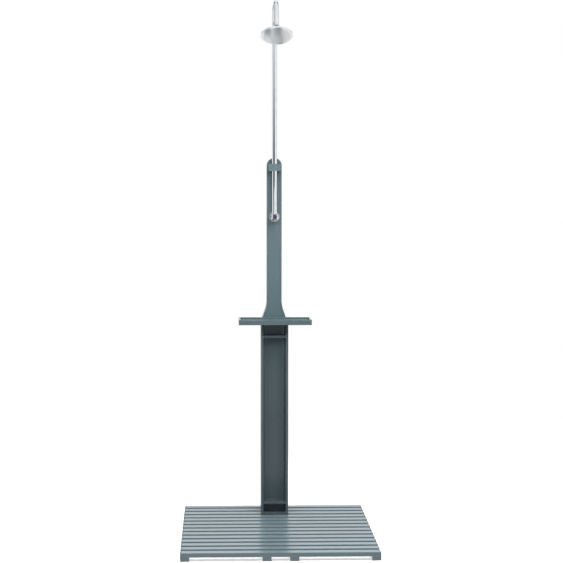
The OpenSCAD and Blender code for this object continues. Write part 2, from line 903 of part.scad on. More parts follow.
// The cartridge guides the spindle and lets water out at its side
module cartridge() {
    base = chamber_floor + 2 * disc_t;
    sleeve_r = chamber_r - fixed_gap;
    color(BRASS)
    at_valve()
    difference() {
        translate([0, 0, base + hole_gap]) cylinder(h = barrel_end - base - hole_gap, r = sleeve_r);
        translate([0, 0, base]) cylinder(h = barrel_end, r = cartridge_bore_r);
        translate([0, 0, riser_gap])
            rotate([-90, 0, 0]) cylinder(h = 2 * sleeve_r, r = water_r);
    }
}

// Lobed outline of the knob
module knob_outline() {
    difference() {
        circle(knob_r);
        for (i = [0:lobe_count - 1])
            rotate((i + 1 / 2) * 360 / lobe_count)
            translate([knob_r + hollow_r - hollow_depth, 0]) circle(hollow_r);
    }
}

// The knob has lobes, bevelled ends and a dished centre
module knob() {
    color(CHROME)
    at_valve()
    translate([0, 0, knob_back])
    difference() {
        intersection() {
            linear_extrude(knob_l) knob_outline();
            union() {
                cylinder(h = knob_edge, r1 = knob_r - knob_edge, r2 = knob_r);
                translate([0, 0, knob_edge]) cylinder(h = knob_l - 2 * knob_edge, r = knob_r);
                translate([0, 0, knob_l - knob_edge])
                    cylinder(h = knob_edge, r1 = knob_r, r2 = knob_r - knob_edge);
            }
        }
        translate([0, 0, -over]) cylinder(h = spindle_l + over, r = spindle_r + turn_gap);
        translate([0, 0, -over]) cylinder(h = knob_l, r = knob_screw_r + hole_gap);
        translate([0, 0, knob_l - dish_depth]) cylinder(h = dish_depth + over, r = dish_r);
    }
}

// One screw holds the knob on the spindle
module knob_screw() {
    seat = knob_front - dish_depth;
    color(STEEL)
    at_valve() {
        translate([0, 0, seat]) difference() {
            cylinder(h = knob_screw_head_h, r = knob_screw_head_r);
            translate([0, 0, knob_screw_head_h / 2])
                cylinder(h = knob_screw_head_h, r = knob_screw_r, $fn = 6);
        }
        translate([0, 0, knob_back + spindle_l / 2])
            cylinder(h = seat - knob_back - spindle_l / 2, r = knob_screw_r);
    }
}

// A round cap closes the dish over the screw
module knob_cap() {
    rest = knob_front - dish_depth + knob_screw_head_h + hole_gap;
    color(NAVY)
    at_valve() translate([0, 0, rest]) {
        cylinder(h = cap_t, r = dish_r - fixed_gap);
        translate([0, 0, -knob_screw_head_h - hole_gap])
            ring(dish_r - fixed_gap, dish_r - cap_t, knob_screw_head_h + hole_gap);
    }
}

// The upper elbow leads the supply pipe into the spigot
module upper_elbow() {
    color(BRASS)
    at_valve()
    difference() {
        union() {
            translate([0, 0, -supply_back - elbow_r])
                cylinder(h = supply_back + elbow_r - spigot_end, r = elbow_r);
            translate([0, 0, -supply_back]) rotate([90, 0, 0]) cylinder(h = elbow_l, r = elbow_r);
        }
        translate([0, 0, -supply_back]) cylinder(h = supply_back, r = water_r);
        translate([0, 0, -supply_back])
            rotate([90, 0, 0]) cylinder(h = elbow_l + over, r = water_r);
        translate([0, -elbow_bite, -supply_back])
            rotate([90, 0, 0]) cylinder(h = elbow_l, r = supply_r + fixed_gap);
    }
}

// The supply pipe climbs behind the web
module supply_pipe() {
    color(CHROME)
    translate([0, supply_y, supply_bottom])
        ring(supply_r, supply_r - supply_wall, supply_top - supply_bottom);
}

// One clip: a ring round the pipe, a stem and a round foot on the plate in front of it
module pipe_clip(plane) {
    reach = supply_y - plane;
    difference() {
        union() {
            translate([0, supply_y, -clip_l / 2]) cylinder(h = clip_l, r = supply_r + clip_wall);
            translate([0, plane, 0]) rotate([-90, 0, 0]) cylinder(h = reach, r = clip_stem_r);
            translate([0, plane, 0]) rotate([-90, 0, 0]) cylinder(h = clip_foot_t, r = clip_foot_r);
        }
        translate([0, supply_y, -clip_l]) cylinder(h = 2 * clip_l, r = supply_r + fixed_gap);
    }
}

// Clips hold the pipe to the column's web and to the post's face plate
module pipe_clips() {
    color(BRASS) {
        for (i = [1:clip_count])
            translate([0, 0, inlet_z + i * clip_span / (clip_count + 1)]) pipe_clip(web_back);
        translate([0, 0, clip_post_z]) pipe_clip(face_back);
    }
}

// A wall-plate elbow on the web takes the pipe from above and opens to the back
module wall_elbow() {
    color(BRASS)
    difference() {
        union() {
            translate([-flange_plate_w / 2, web_back, inlet_z - flange_plate_h / 2])
                cube([flange_plate_w, flange_plate_t, flange_plate_h]);
            translate([0, web_back, inlet_z])
                rotate([-90, 0, 0])
                cylinder(h = supply_y - web_back + wall_elbow_r, r = wall_elbow_r);
            translate([0, supply_y, inlet_z]) cylinder(h = elbow_l, r = elbow_r);
        }
        translate([0, supply_y, inlet_z]) cylinder(h = elbow_l + over, r = water_r);
        translate([0, supply_y, supply_bottom]) cylinder(h = elbow_l, r = supply_r + fixed_gap);
        translate([0, supply_y, inlet_z])
            rotate([-90, 0, 0]) cylinder(h = wall_elbow_r + over, r = inlet_bore_r);
        translate([0, supply_y + wall_elbow_r - nipple_bite, inlet_z])
            rotate([-90, 0, 0]) cylinder(h = nipple_bite + over, r = inlet_r + fixed_gap);
        for (x = [-elbow_screw_x, elbow_screw_x])
            translate([x, web_back - over, inlet_z])
            rotate([-90, 0, 0])
            cylinder(h = flange_plate_t + 2 * over, r = elbow_screw_r + hole_gap);
    }
}

// Two screws hold the wall-plate elbow in the web's tapped holes
module elbow_screws() {
    color(STEEL)
    for (x = [-elbow_screw_x, elbow_screw_x])
        translate([x, web_back + flange_plate_t, inlet_z]) {
            rotate([-90, 0, 0]) cylinder(h = elbow_screw_head_h, r = elbow_screw_head_r);
            rotate([90, 0, 0]) cylinder(h = flange_plate_t + web_t, r = elbow_screw_r);
        }
}

// The nipple is the hose's connection: a hexagon between two male threads
module hose_nipple() {
    start = supply_y + wall_elbow_r;
    color(BRASS)
    translate([0, start, inlet_z])
    rotate([-90, 0, 0])
    difference() {
        union() {
            translate([0, 0, -nipple_bite]) cylinder(h = nipple_bite, r = inlet_r);
            cylinder(h = nipple_hex_t, r = nipple_hex_r, $fn = 6);
            translate([0, 0, nipple_hex_t]) cylinder(h = inlet_l, r = inlet_r);
        }
        translate([0, 0, -nipple_bite - over])
            cylinder(h = nipple_bite + nipple_hex_t + inlet_l + 2 * over, r = inlet_bore_r);
    }
}

// Places children at the ball's centre, with +Z back up the arm
module at_ball() {
    at_bend() at_arm_tip() translate([0, 0, -ball_drop]) children();
}

// The plug in the arm's end is the ball stud's bearing
module arm_plug() {
    color(CHROME)
    at_ball()
    difference() {
        union() {
            translate([0, 0, ball_drop - arm_flange_t]) cylinder(h = arm_flange_t, r = arm_flange_r);
            translate([0, 0, ball_drop])
                cylinder(h = arm_plug_l, r = riser_r - riser_wall - fixed_gap);
        }
        cylinder(h = ball_drop + arm_plug_l + over, r = stud_r + turn_gap);
    }
}

// The ball stud turns in the plug, and water runs through its bore
module ball_stud() {
    top = ball_drop + arm_plug_l;
    flange_z = ball_drop - arm_flange_t - ball_gap;
    color(CHROME)
    at_ball()
    difference() {
        union() {
            sphere(ball_r);
            cylinder(h = flange_z, r = neck_r);
            translate([0, 0, flange_z - stud_flange_t]) cylinder(h = stud_flange_t, r = stud_flange_r);
            translate([0, 0, flange_z]) cylinder(h = top - flange_z + hole_gap, r = stud_r);
            translate([0, 0, top]) cylinder(h = hole_gap + groove_t, r = groove_r);
            translate([0, 0, top + hole_gap + groove_t]) cylinder(h = stud_tail, r = stud_r);
        }
        translate([0, 0, -ball_r - over])
            cylinder(h = ball_r + top + stud_tail + groove_t + 2 * over, r = stud_bore_r);
    }
}

// A ring in the stud's groove keeps the stud in the plug
module stud_clip() {
    color(STEEL)
    at_ball()
    translate([0, 0, ball_drop + arm_plug_l + hole_gap])
        ring(stud_clip_r, groove_r + fixed_gap, groove_t);
}

// The neck nut holds the ball from above and screws onto the head's stem
module neck_nut() {
    color(CHROME)
    at_ball()
    difference() {
        union() {
            translate([0, 0, seat_low]) cylinder(h = nut_taper_z - seat_low, r = nut_r);
            translate([0, 0, nut_taper_z])
                cylinder(h = nut_top - nut_taper_z, r1 = nut_r, r2 = nut_top_r);
        }
        sphere(socket_r);
        cylinder(h = nut_top + over, r = nut_mouth_r);
        translate([0, 0, seat_low - over])
            cylinder(h = stem_top + fixed_gap - seat_low + over, r = stem_r + fixed_gap);
    }
}

// A plastic seat carries the ball from below
module ball_seat() {
    color(PALE)
    at_ball()
    difference() {
        translate([0, 0, seat_low]) cylinder(h = seat_top - seat_low, r = socket_r - fixed_gap);
        sphere(socket_r);
        translate([0, 0, seat_low - over]) cylinder(h = seat_top - seat_low, r = seat_bore_r);
    }
}

// Half section of the shell: stem, dome, rim and the ledge behind the spray plate
module shell_profile() {
    ledge_z = face_plane + spray_set + spray_t + mat_t;
    polygon([
        [socket_r, stem_top], [stem_r, stem_top], [stem_r, dome_top],
        [head_r - rim_w, dome_base + rim_round], [head_r - rim_round, dome_base],
        [head_r, dome_base - rim_round], [head_r, face_plane + rim_round],
        [head_r - rim_round, face_plane], [head_r - rim_w, face_plane],
        [head_r - rim_w, ledge_z], [head_r - rim_w - ledge_w, ledge_z],
        [head_r - rim_w - ledge_w, dome_base - dome_wall / 2],
        [stem_r, dome_top - dome_wall], [water_r, dome_top - dome_wall],
        [water_r, seat_low], [socket_r, seat_low]
    ]);
}

// The head's shell
module head_shell() {
    color(CHROME) at_ball() rotate_extrude($fn = 180) shell_profile();
}

// Places children at every nozzle: one in the middle and evenly spaced rings
module at_nozzles() {
    children();
    for (k = [1:ring_count], i = [0:6 * k - 1])
        rotate(i * 60 / k) translate([k * ring_pitch, 0, 0]) children();
}

// The spray plate lies in the rim, with a hole for each nozzle
module spray_plate() {
    color(STEEL)
    at_ball()
    translate([0, 0, face_plane + spray_set])
    difference() {
        cylinder(h = spray_t, r = spray_r);
        at_nozzles() translate([0, 0, -over])
            cylinder(h = spray_t + 2 * over, r = nozzle_r + fixed_gap, $fn = 16);
    }
}

// One rubber mat behind the plate carries all the nozzles
module nozzle_mat() {
    color(DARK)
    at_ball()
    translate([0, 0, face_plane + spray_set])
    difference() {
        union() {
            translate([0, 0, spray_t]) cylinder(h = mat_t, r = spray_r);
            at_nozzles() translate([0, 0, -nozzle_out])
                cylinder(h = nozzle_out + spray_t + mat_t / 2, r = nozzle_r, $fn = 16);
        }
        at_nozzles() translate([0, 0, -nozzle_out - over])
            cylinder(h = nozzle_out + spray_t + mat_t + 2 * over, r = nozzle_r / 2, $fn = 16);
    }
}

for (i = [0:slat_count - 1])
    slat(i);
for (i = [0:3])
    bearer(bearer_xs[i]);
slat_end_plugs();
slat_screws();
clamp_plate();
foot_bolts();
foot_plate();
column();
stiffeners(column_z + stiffener_low, false);  // stiffeners_low
stiffeners(stiffener_top_z, true);  // stiffeners_high
tray_seat_plate();
tray_floor();
tray_cross_plates();
tray_side_plates();
tray_screws();
post_face_plate();
post_edge_band();
riser_clamp();
clamp_screws();
clamp_grub_screw();
riser_tube();
valve_body();
escutcheon();
valve_back_nut();
cartridge();
fixed_disc();
turning_disc();
knob();
knob_screw();
knob_cap();
upper_elbow();
supply_pipe();
pipe_clips();
wall_elbow();
elbow_screws();
hose_nipple();
arm_plug();
ball_stud();
stud_clip();
neck_nut();
ball_seat();
head_shell();
spray_plate();
nozzle_mat();
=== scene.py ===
"""Looks of the outdoor shower post: finishes, fine pieces, studio and camera.

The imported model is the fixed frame. Every node keeps its shape, or is replaced in its
place by a finer piece. Lengths are in metres, and MM turns millimetres into metres.
"""

import json
import logging
import math
from dataclasses import dataclass, field
from enum import Enum
from functools import partial
from typing import Callable, Sequence

import bpy
from mathutils import Matrix, Vector


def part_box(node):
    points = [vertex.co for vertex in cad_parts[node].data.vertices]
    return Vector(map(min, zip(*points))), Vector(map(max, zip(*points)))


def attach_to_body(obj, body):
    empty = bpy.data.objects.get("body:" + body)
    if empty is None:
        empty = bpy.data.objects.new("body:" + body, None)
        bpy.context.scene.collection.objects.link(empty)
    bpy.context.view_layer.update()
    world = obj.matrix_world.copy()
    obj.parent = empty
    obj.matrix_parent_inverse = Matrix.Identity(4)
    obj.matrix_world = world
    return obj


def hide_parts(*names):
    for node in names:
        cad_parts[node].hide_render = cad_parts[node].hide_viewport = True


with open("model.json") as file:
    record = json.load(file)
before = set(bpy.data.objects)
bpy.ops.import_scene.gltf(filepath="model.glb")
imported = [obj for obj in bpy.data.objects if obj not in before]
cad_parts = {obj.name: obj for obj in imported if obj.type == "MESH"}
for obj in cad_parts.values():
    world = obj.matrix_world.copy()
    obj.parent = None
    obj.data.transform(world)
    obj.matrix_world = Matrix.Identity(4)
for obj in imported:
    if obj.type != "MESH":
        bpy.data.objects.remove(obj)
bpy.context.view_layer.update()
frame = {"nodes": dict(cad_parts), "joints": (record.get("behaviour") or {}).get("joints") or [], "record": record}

MM = 0.001
LOG = logging.getLogger("shower_post")

WHITE = (1.0, 1.0, 1.0, 1.0)
METAL = {"Metallic": 1.0}
NOISE_RANGE = (0.3, 0.7)  # most of a noise's values lie in it
FACING = 0.9  # least Z part of the normal of a face that looks up or down

Material = bpy.types.Material
Piece = bpy.types.Object
Socket = bpy.types.NodeSocket
Test = Callable[[Vector, Vector], bool]
Step = Callable[[], object]
Pair = tuple[float, float]
Place = tuple[float, float, float]


def linear(code: str) -> tuple[float, float, float, float]:
    """Turns an sRGB hex colour into linear values.

    Args:
        code: six hex digits after a hash sign.

    Returns:
        Red, green, blue and alpha.
    """
    parts = [int(code[i : i + 2], 16) / 255 for i in (1, 3, 5)]
    low = [p / 12.92 if p <= 0.04045 else ((p + 0.055) / 1.055) ** 2.4 for p in parts]
    return (low[0], low[1], low[2], 1.0)


class Nodes:
    """The node tree of a material or world, and the coordinates that it reads."""

    def __init__(self, owner: bpy.types.ID, coordinates: str = "Object") -> None:
        """Empties the owner's tree and adds its coordinates.

        Args:
            owner: the material or world.
            coordinates: the kind of coordinates.
        """
        owner.use_nodes = True
        self.tree = owner.node_tree
        self.tree.nodes.clear()
        self.where = self.add("ShaderNodeTexCoord").outputs[coordinates]

    def add(
        self, kind: str, values: dict[str | int, object] | None = None,
        links: dict[str | int, Socket] | None = None, **settings: object,
    ) -> bpy.types.Node:
        """Adds a node with its settings, input values and links.

        Args:
            kind: the node's type name.
            values: values of its inputs, by name or number.
            links: sockets that feed its inputs, by name or number.
            **settings: properties of the node itself.

        Returns:
            The new node.
        """
        node = self.tree.nodes.new(kind)
        for key, value in settings.items():
            setattr(node, key, value)
        for key, value in (values or {}).items():
            node.inputs[key].default_value = value
        for key, source in (links or {}).items():
            self.tree.links.new(source, node.inputs[key])
        return node

    def ramp(
        self, value: Socket, source: Pair, target: Pair = (0.0, 1.0), **settings: object
    ) -> Socket:
        """Maps a value from one range to another.

        Args:
            value: the value that is mapped.
            source: the range that it comes from.
            target: the range that it goes to.
            **settings: properties of the node itself.

        Returns:
            The mapped value.
        """
        values = dict(zip(("From Min", "From Max", "To Min", "To Max"), (*source, *target)))
        return self.add("ShaderNodeMapRange", values, {"Value": value}, **settings).outputs[0]

    def blend(self, operation: str, first: Socket, second: Socket) -> Socket:
        """Returns the result of a Math operation on two values."""
        links = {0: first, 1: second}
        return self.add("ShaderNodeMath", links=links, operation=operation).outputs[0]

    def height(self) -> Socket:
        """Returns the Z part of the coordinates."""
        return self.add("ShaderNodeSeparateXYZ", links={"Vector": self.where}).outputs["Z"]

    def noise(self, size_mm: float, detail: float = 2.0, where: Socket | None = None) -> Socket:
        """Adds noise whose blotches are about size_mm across.

        Args:
            size_mm: the size of a blotch in millimetres.
            detail: the number of finer layers.
            where: the coordinates that it reads, if not the usual ones.

        Returns:
            The noise's value.
        """
        values = {"Scale": 1 / (size_mm * MM), "Detail": detail, "Roughness": 0.5}
        links = {"Vector": where or self.where}
        return self.add("ShaderNodeTexNoise", values, links).outputs["Fac"]

    def bump(self, height: Socket, depth_mm: float, strength: float) -> Socket:
        """Turns a height into a bumped normal of a real depth."""
        values = {"Strength": strength, "Distance": depth_mm * MM}
        return self.add("ShaderNodeBump", values, {"Height": height}).outputs["Normal"]

    def surface(self, shader: bpy.types.Node, kind: str = "Material") -> None:
        """Adds the output and feeds it with a shader."""
        self.add(f"ShaderNodeOutput{kind}", links={"Surface": shader.outputs[0]})


@dataclass(frozen=True)
class Finish:
    """What every finish shares: a name, a colour and how rough it is."""

    name: str
    colour: str
    roughness: float

    def begin(self) -> tuple[Material, Nodes]:
        """Starts a material, and returns it with its nodes."""
        material = bpy.data.materials.new(self.name)
        return material, Nodes(material)

    def gloss(self, nodes: Nodes, value: Socket, shares: Pair) -> Socket:
        """Varies the roughness between two shares of its own value."""
        low, high = shares
        return nodes.ramp(value, NOISE_RANGE, (self.roughness * low, self.roughness * high))

    def tint(self, nodes: Nodes, value: Socket, other: str, share: float) -> Socket:
        """Blends the colour towards another one where the noise is high.

        Args:
            nodes: the material's nodes.
            value: the noise.
            other: the other colour.
            share: the largest share of the other colour.

        Returns:
            The blended colour.
        """
        factor = nodes.ramp(value, NOISE_RANGE, (0.0, share))
        mix = nodes.add("ShaderNodeMix", links={"Factor": factor}, data_type="RGBA")
        mix.inputs[6].default_value = linear(self.colour)
        mix.inputs[7].default_value = linear(other)
        return mix.outputs[2]

    def close(
        self, nodes: Nodes, values: dict[str, float], colour: Socket, rough: Socket, normal: Socket
    ) -> None:
        """Adds the main shader and the output.

        Args:
            nodes: the material's nodes.
            values: fixed values of the shader.
            colour: its base colour.
            rough: its roughness.
            normal: its bumped normal.
        """
        links = {"Base Color": colour, "Roughness": rough, "Normal": normal}
        nodes.surface(nodes.add("ShaderNodeBsdfPrincipled", values, links))


@dataclass(frozen=True)
class PowderCoat(Finish):
    """Polyester powder coat, sprayed and baked, under a thin clear gloss."""

    worn: str = "#8d9aa0"
    worn_mm: float = 260.0
    worn_share: float = 0.10
    peel_mm: float = 1.8
    peel_depth_mm: float = 0.05
    peel_strength: float = 0.25
    drop_mm: float = 14.0
    drop_edge: Pair = (0.10, 0.16)
    drop_dulling: float = 0.05
    film_mm: float = 40.0
    film: Pair = (-0.03, 0.04)
    coat: float = 0.5
    coat_roughness: float = 0.06
    ior: float = 1.5
    # painted shade: ambient occlusion within this distance darkens the colour in corners and recesses, down to
    # this share
    corner_shade_mm: float = 95.0
    corner_shade: float = 0.9
    corner_shade_open: Pair = (0.3, 0.95)
    # painted shade: the colour darkens towards the bottom, to this share below the lower height
    low_shade: float = 1.0
    low_shade_height: Pair = (0.45, 1.10)

    def make(self) -> Material:
        """Builds the coat.

        Orange peel of a millimetre or two breaks the reflections, slow drifts of
        the film change the tone a little, and dried drops leave duller rings. Painted
        shade darkens the colour in corners and recesses, from ambient occlusion, and
        painted shade darkens the lowest metre.
        """
        material, nodes = self.begin()
        drift = self.tint(nodes, nodes.noise(self.worn_mm, 3.0), self.worn, self.worn_share)
        # painted shade in corners and recesses, from ambient occlusion
        corner_occlusion = nodes.add(
            "ShaderNodeAmbientOcclusion", {"Distance": self.corner_shade_mm * MM}, samples=8
        ).outputs["AO"]
        corner_shaded = nodes.ramp(corner_occlusion, self.corner_shade_open, (self.corner_shade, 1.0))
        # painted shade: darker towards the bottom
        low_shaded = nodes.ramp(nodes.height(), self.low_shade_height, (self.low_shade, 1.0))
        # both painted shades, multiplied into one scale of the colour
        painted_shade_scale = nodes.blend("MULTIPLY", corner_shaded, low_shaded)
        links = {0: drift, "Scale": painted_shade_scale}
        colour = nodes.add("ShaderNodeVectorMath", links=links, operation="SCALE").outputs[0]
        drops = nodes.add(
            "ShaderNodeTexVoronoi", {"Scale": 1 / (self.drop_mm * MM), "Randomness": 1.0},
            {"Vector": nodes.where}, feature="SMOOTH_F1",
        ).outputs["Distance"]
        ring = nodes.ramp(drops, self.drop_edge, (1.0, 0.0))
        film = nodes.ramp(nodes.noise(self.film_mm, 3.0), NOISE_RANGE, self.film)
        values = {1: self.drop_dulling, 2: self.roughness}
        dull = nodes.add("ShaderNodeMath", values, {0: ring}, operation="MULTIPLY_ADD").outputs[0]
        values = {
            "IOR": self.ior, "Coat Weight": self.coat, "Coat Roughness": self.coat_roughness,
        }
        peel = nodes.noise(self.peel_mm, 1.0)
        normal = nodes.bump(peel, self.peel_depth_mm, self.peel_strength)
        self.close(nodes, values, colour, nodes.blend("ADD", dull, film), normal)
        return material


@dataclass(frozen=True)
class Plating(Finish):
    """Chrome plate on polished brass: a mirror with faint polishing waves."""

    smear: str = "#b9bec4"
    smear_mm: float = 22.0
    smear_share: float = 0.25
    shares: Pair = (0.6, 1.7)
    wave_mm: float = 30.0
    wave_depth_mm: float = 0.06
    wave_strength: float = 0.10

    def make(self) -> Material:
        """Builds the plate, with a trace of water film in its gloss."""
        material, nodes = self.begin()
        film = nodes.noise(self.smear_mm, 4.0)
        colour = self.tint(nodes, film, self.smear, self.smear_share)
        waves = nodes.noise(self.wave_mm, 1.0)
        normal = nodes.bump(waves, self.wave_depth_mm, self.wave_strength)
        self.close(nodes, METAL, colour, self.gloss(nodes, film, self.shares), normal)
        return material


@dataclass(frozen=True)
class Machined(Finish):
    """Bare metal turned or brushed in one direction, with fine lines round it."""

    along: Place = (1.0, 1.0, 1.0)
    line_mm: float = 0.35
    tarnish: str = "#6f6a5c"
    tarnish_mm: float = 9.0
    tarnish_share: float = 0.35
    shares: Pair = (0.7, 1.4)
    line_depth_mm: float = 0.03
    line_strength: float = 0.35

    def make(self) -> Material:
        """Builds the metal: lines about half a millimetre apart, and some tarnish."""
        material, nodes = self.begin()
        turned = nodes.add("ShaderNodeMapping", {"Scale": self.along}, {"Vector": nodes.where})
        lines = nodes.noise(self.line_mm, 2.0, turned.outputs[0])
        spots = nodes.noise(self.tarnish_mm, 4.0)
        colour = self.tint(nodes, spots, self.tarnish, self.tarnish_share)
        normal = nodes.bump(lines, self.line_depth_mm, self.line_strength)
        self.close(nodes, METAL, colour, self.gloss(nodes, lines, self.shares), normal)
        return material


@dataclass(frozen=True)
class SpunFace(Finish):
    """Steel disc brushed in rings round its middle."""

    centre: Place = (0.0, 0.0, 0.0)
    tilt: float = 0.0
    mark: str = "#cfd1d4"
    mark_mm: float = 12.0
    mark_share: float = 0.25
    ring_mm: float = 0.4
    shares: Pair = (0.7, 1.4)
    ring_depth_mm: float = 0.02
    ring_strength: float = 0.3

    def make(self) -> Material:
        """Builds rings of fine brushing from the distance to the disc's middle."""
        material, nodes = self.begin()
        local = nodes.add(
            "ShaderNodeMapping", {"Location": self.centre, "Rotation": (self.tilt, 0.0, 0.0)},
            {"Vector": nodes.where}, vector_type="TEXTURE",
        ).outputs[0]
        flat = nodes.add(
            "ShaderNodeVectorMath", {1: (1.0, 1.0, 0.0)}, {0: local}, operation="MULTIPLY"
        ).outputs[0]
        reach = nodes.add("ShaderNodeVectorMath", links={0: flat}, operation="LENGTH")
        rings = nodes.add(
            "ShaderNodeTexNoise", {"Scale": 1 / (self.ring_mm * MM), "Detail": 2.0},
            {"W": reach.outputs["Value"]}, noise_dimensions="1D",
        ).outputs["Fac"]
        colour = self.tint(nodes, nodes.noise(self.mark_mm, 3.0), self.mark, self.mark_share)
        normal = nodes.bump(rings, self.ring_depth_mm, self.ring_strength)
        self.close(nodes, METAL, colour, self.gloss(nodes, rings, self.shares), normal)
        return material


@dataclass(frozen=True)
class Moulded(Finish):
    """Moulded plastic, rubber or pressed ceramic with a fine grain."""

    shade: str = "#808080"
    grain_mm: float = 0.5
    depth_mm: float = 0.02
    ior: float = 1.5
    coat: float = 0.0
    coat_roughness: float = 0.1
    shade_mm: float = 18.0
    shade_share: float = 0.2
    drift_mm: float = 6.0
    drift: Pair = (-0.05, 0.08)
    grain_strength: float = 0.5

    def make(self) -> Material:
        """Builds a grained skin with slow drifts in tone and gloss."""
        material, nodes = self.begin()
        tone = nodes.noise(self.shade_mm, 3.0)
        colour = self.tint(nodes, tone, self.shade, self.shade_share)
        low, high = self.drift
        rough = nodes.ramp(
            nodes.noise(self.drift_mm, 3.0), NOISE_RANGE,
            (self.roughness + low, self.roughness + high),
        )
        values = {
            "IOR": self.ior, "Coat Weight": self.coat, "Coat Roughness": self.coat_roughness,
        }
        grain = nodes.noise(self.grain_mm, 2.0)
        normal = nodes.bump(grain, self.depth_mm, self.grain_strength)
        self.close(nodes, values, colour, rough, normal)
        return material


def clear() -> None:
    """Leaves edit mode and deselects everything."""
    if bpy.context.object and bpy.context.object.mode != "OBJECT":
        bpy.ops.object.mode_set(mode="OBJECT")
    bpy.ops.object.select_all(action="DESELECT")


def only(piece: Piece) -> None:
    """Selects one piece alone and makes it active."""
    clear()
    piece.select_set(True)
    bpy.context.view_layer.objects.active = piece


def drum(
    radius: float, low: float, high: float, sides: int = 48, top: float | None = None
) -> Piece:
    """Adds a round or many-sided drum on the Z axis.

    Args:
        radius: its radius at the low end.
        low: the height of its low end.
        high: the height of its high end.
        sides: the number of its sides.
        top: its radius at the high end, if it tapers.

    Returns:
        The new piece.
    """
    clear()
    bpy.ops.mesh.primitive_cone_add(
        vertices=sides, radius1=radius, radius2=radius if top is None else top,
        depth=high - low, location=(0, 0, (low + high) / 2),
    )
    return settle(bpy.context.object)


def block(size: Place, where: Place = (0.0, 0.0, 0.0), turn: float = 0.0) -> Piece:
    """Adds a block of a size with its middle at a place, turned about Z."""
    clear()
    bpy.ops.mesh.primitive_cube_add(size=1.0, rotation=(0, 0, turn))
    made = bpy.context.object
    made.scale, made.location = size, where
    return settle(made)


def settle(piece: Piece) -> Piece:
    """Puts a piece's place, turn and scale into its mesh."""
    only(piece)
    bpy.ops.object.transform_apply(location=True, rotation=True, scale=True)
    return piece


def edit(piece: Piece, test: Test | None, *steps: Step) -> Piece:
    """Selects faces by their middle and normal, and runs edit steps on them.

    Args:
        piece: the piece to edit.
        test: says whether a face is taken; None takes all of them.
        *steps: the operators to run.

    Returns:
        The same piece.
    """
    only(piece)
    bpy.ops.object.mode_set(mode="EDIT")
    bpy.ops.mesh.select_mode(type="FACE")
    bpy.ops.mesh.select_all(action="SELECT" if test is None else "DESELECT")
    if test is not None:
        bpy.ops.object.mode_set(mode="OBJECT")
        for face in piece.data.polygons:
            face.select = test(face.center, face.normal)
        bpy.ops.object.mode_set(mode="EDIT")
    for step in steps:
        step()
    bpy.ops.object.mode_set(mode="OBJECT")
    return piece


def attach(piece: Piece, kind: str, **settings: object) -> str:
    """Adds a modifier to a piece.

    Args:
        piece: the piece that takes it.
        kind: the modifier's type.
        **settings: its settings.

    Returns:
        The modifier's name.
    """
    only(piece)
    bpy.ops.object.modifier_add(type=kind)
    modifier = piece.modifiers[-1]
    for key, value in settings.items():
        setattr(modifier, key, value)
    return modifier.name


def modify(piece: Piece, kind: str, **settings: object) -> Piece:
    """Adds a modifier to a piece and applies it."""
    bpy.ops.object.modifier_apply(modifier=attach(piece, kind, **settings))
    return piece


def carve(piece: Piece, tool: Piece, way: str = "DIFFERENCE") -> None:
    """Cuts a piece with a tool, which is used up."""
    modify(piece, "BOOLEAN", object=tool, operation=way, solver="EXACT")
    bpy.data.objects.remove(tool, do_unlink=True)


def soften(piece: Piece, width: float, segments: int = 3, angle: float = 32.0) -> Piece:
    """Rounds the edges that are sharper than an angle in degrees."""
    return modify(
        piece, "BEVEL", width=width, segments=segments, limit_method="ANGLE",
        angle_limit=math.radians(angle), use_clamp_overlap=True,
    )


def join(pieces: Sequence[Piece]) -> Piece:
    """Joins pieces into the first of them."""
    clear()
    for piece in pieces:
        piece.select_set(True)
    bpy.context.view_layer.objects.active = pieces[0]
    if len(pieces) > 1:
        bpy.ops.object.join()
    return bpy.context.object


def copies(model: Piece, places: Sequence[Matrix]) -> Piece:
    """Copies a model to each place, joins the copies and drops the model.

    Args:
        model: the piece that is copied.
        places: the matrix of each copy.

    Returns:
        The copies as one piece.
    """
    made = []
    for place in places:
        only(model)
        bpy.ops.object.duplicate()
        twin = bpy.context.object
        twin.matrix_world = place
        made.append(settle(twin))
    bpy.data.objects.remove(model, do_unlink=True)
    return join(made)


def hexagon(radius: float, low: float, high: float, chamfer: float) -> Piece:
    """Makes a hexagon whose corners are turned off on both faces.

    Args:
        radius: the radius of its corners.
        low: the height of its low face.
        high: the height of its high face.
        chamfer: how far the corners are turned off.

    Returns:
        The new piece.
    """
    nut = drum(radius, low, high, 6)
    carve(nut, soften(drum(radius, low, high, 96), chamfer, 1, 50.0), "INTERSECT")
    return nut


def span(node: str) -> tuple[Vector, Vector, Vector]:
    """Returns a node's lowest corner, highest corner and middle."""
    low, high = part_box(node)
    return low, high, (low + high) / 2


def joint(name: str) -> tuple[Vector, Vector]:
    """Returns the place and axis of a joint."""
    found = next(j for j in frame["joints"] if j["name"] == name)
    return Vector(found["pos_m"]), Vector(found["axis"])


def facing(where: Vector | Place, way: Vector | Place) -> Matrix:
    """Returns a frame at a place whose Z axis points a given way."""
    turn = Vector((0, 0, 1)).rotation_difference(Vector(way)).to_matrix().to_4x4()
    return Matrix.Translation(Vector(where)) @ turn


class Drive(Enum):
    """The recess that turns a screw."""

    HEXAGON = 6
    CROSS = 4


class Head(Enum):
    """The form of a screw's head."""

    PAN = "pan"
    COUNTERSUNK = "countersunk"


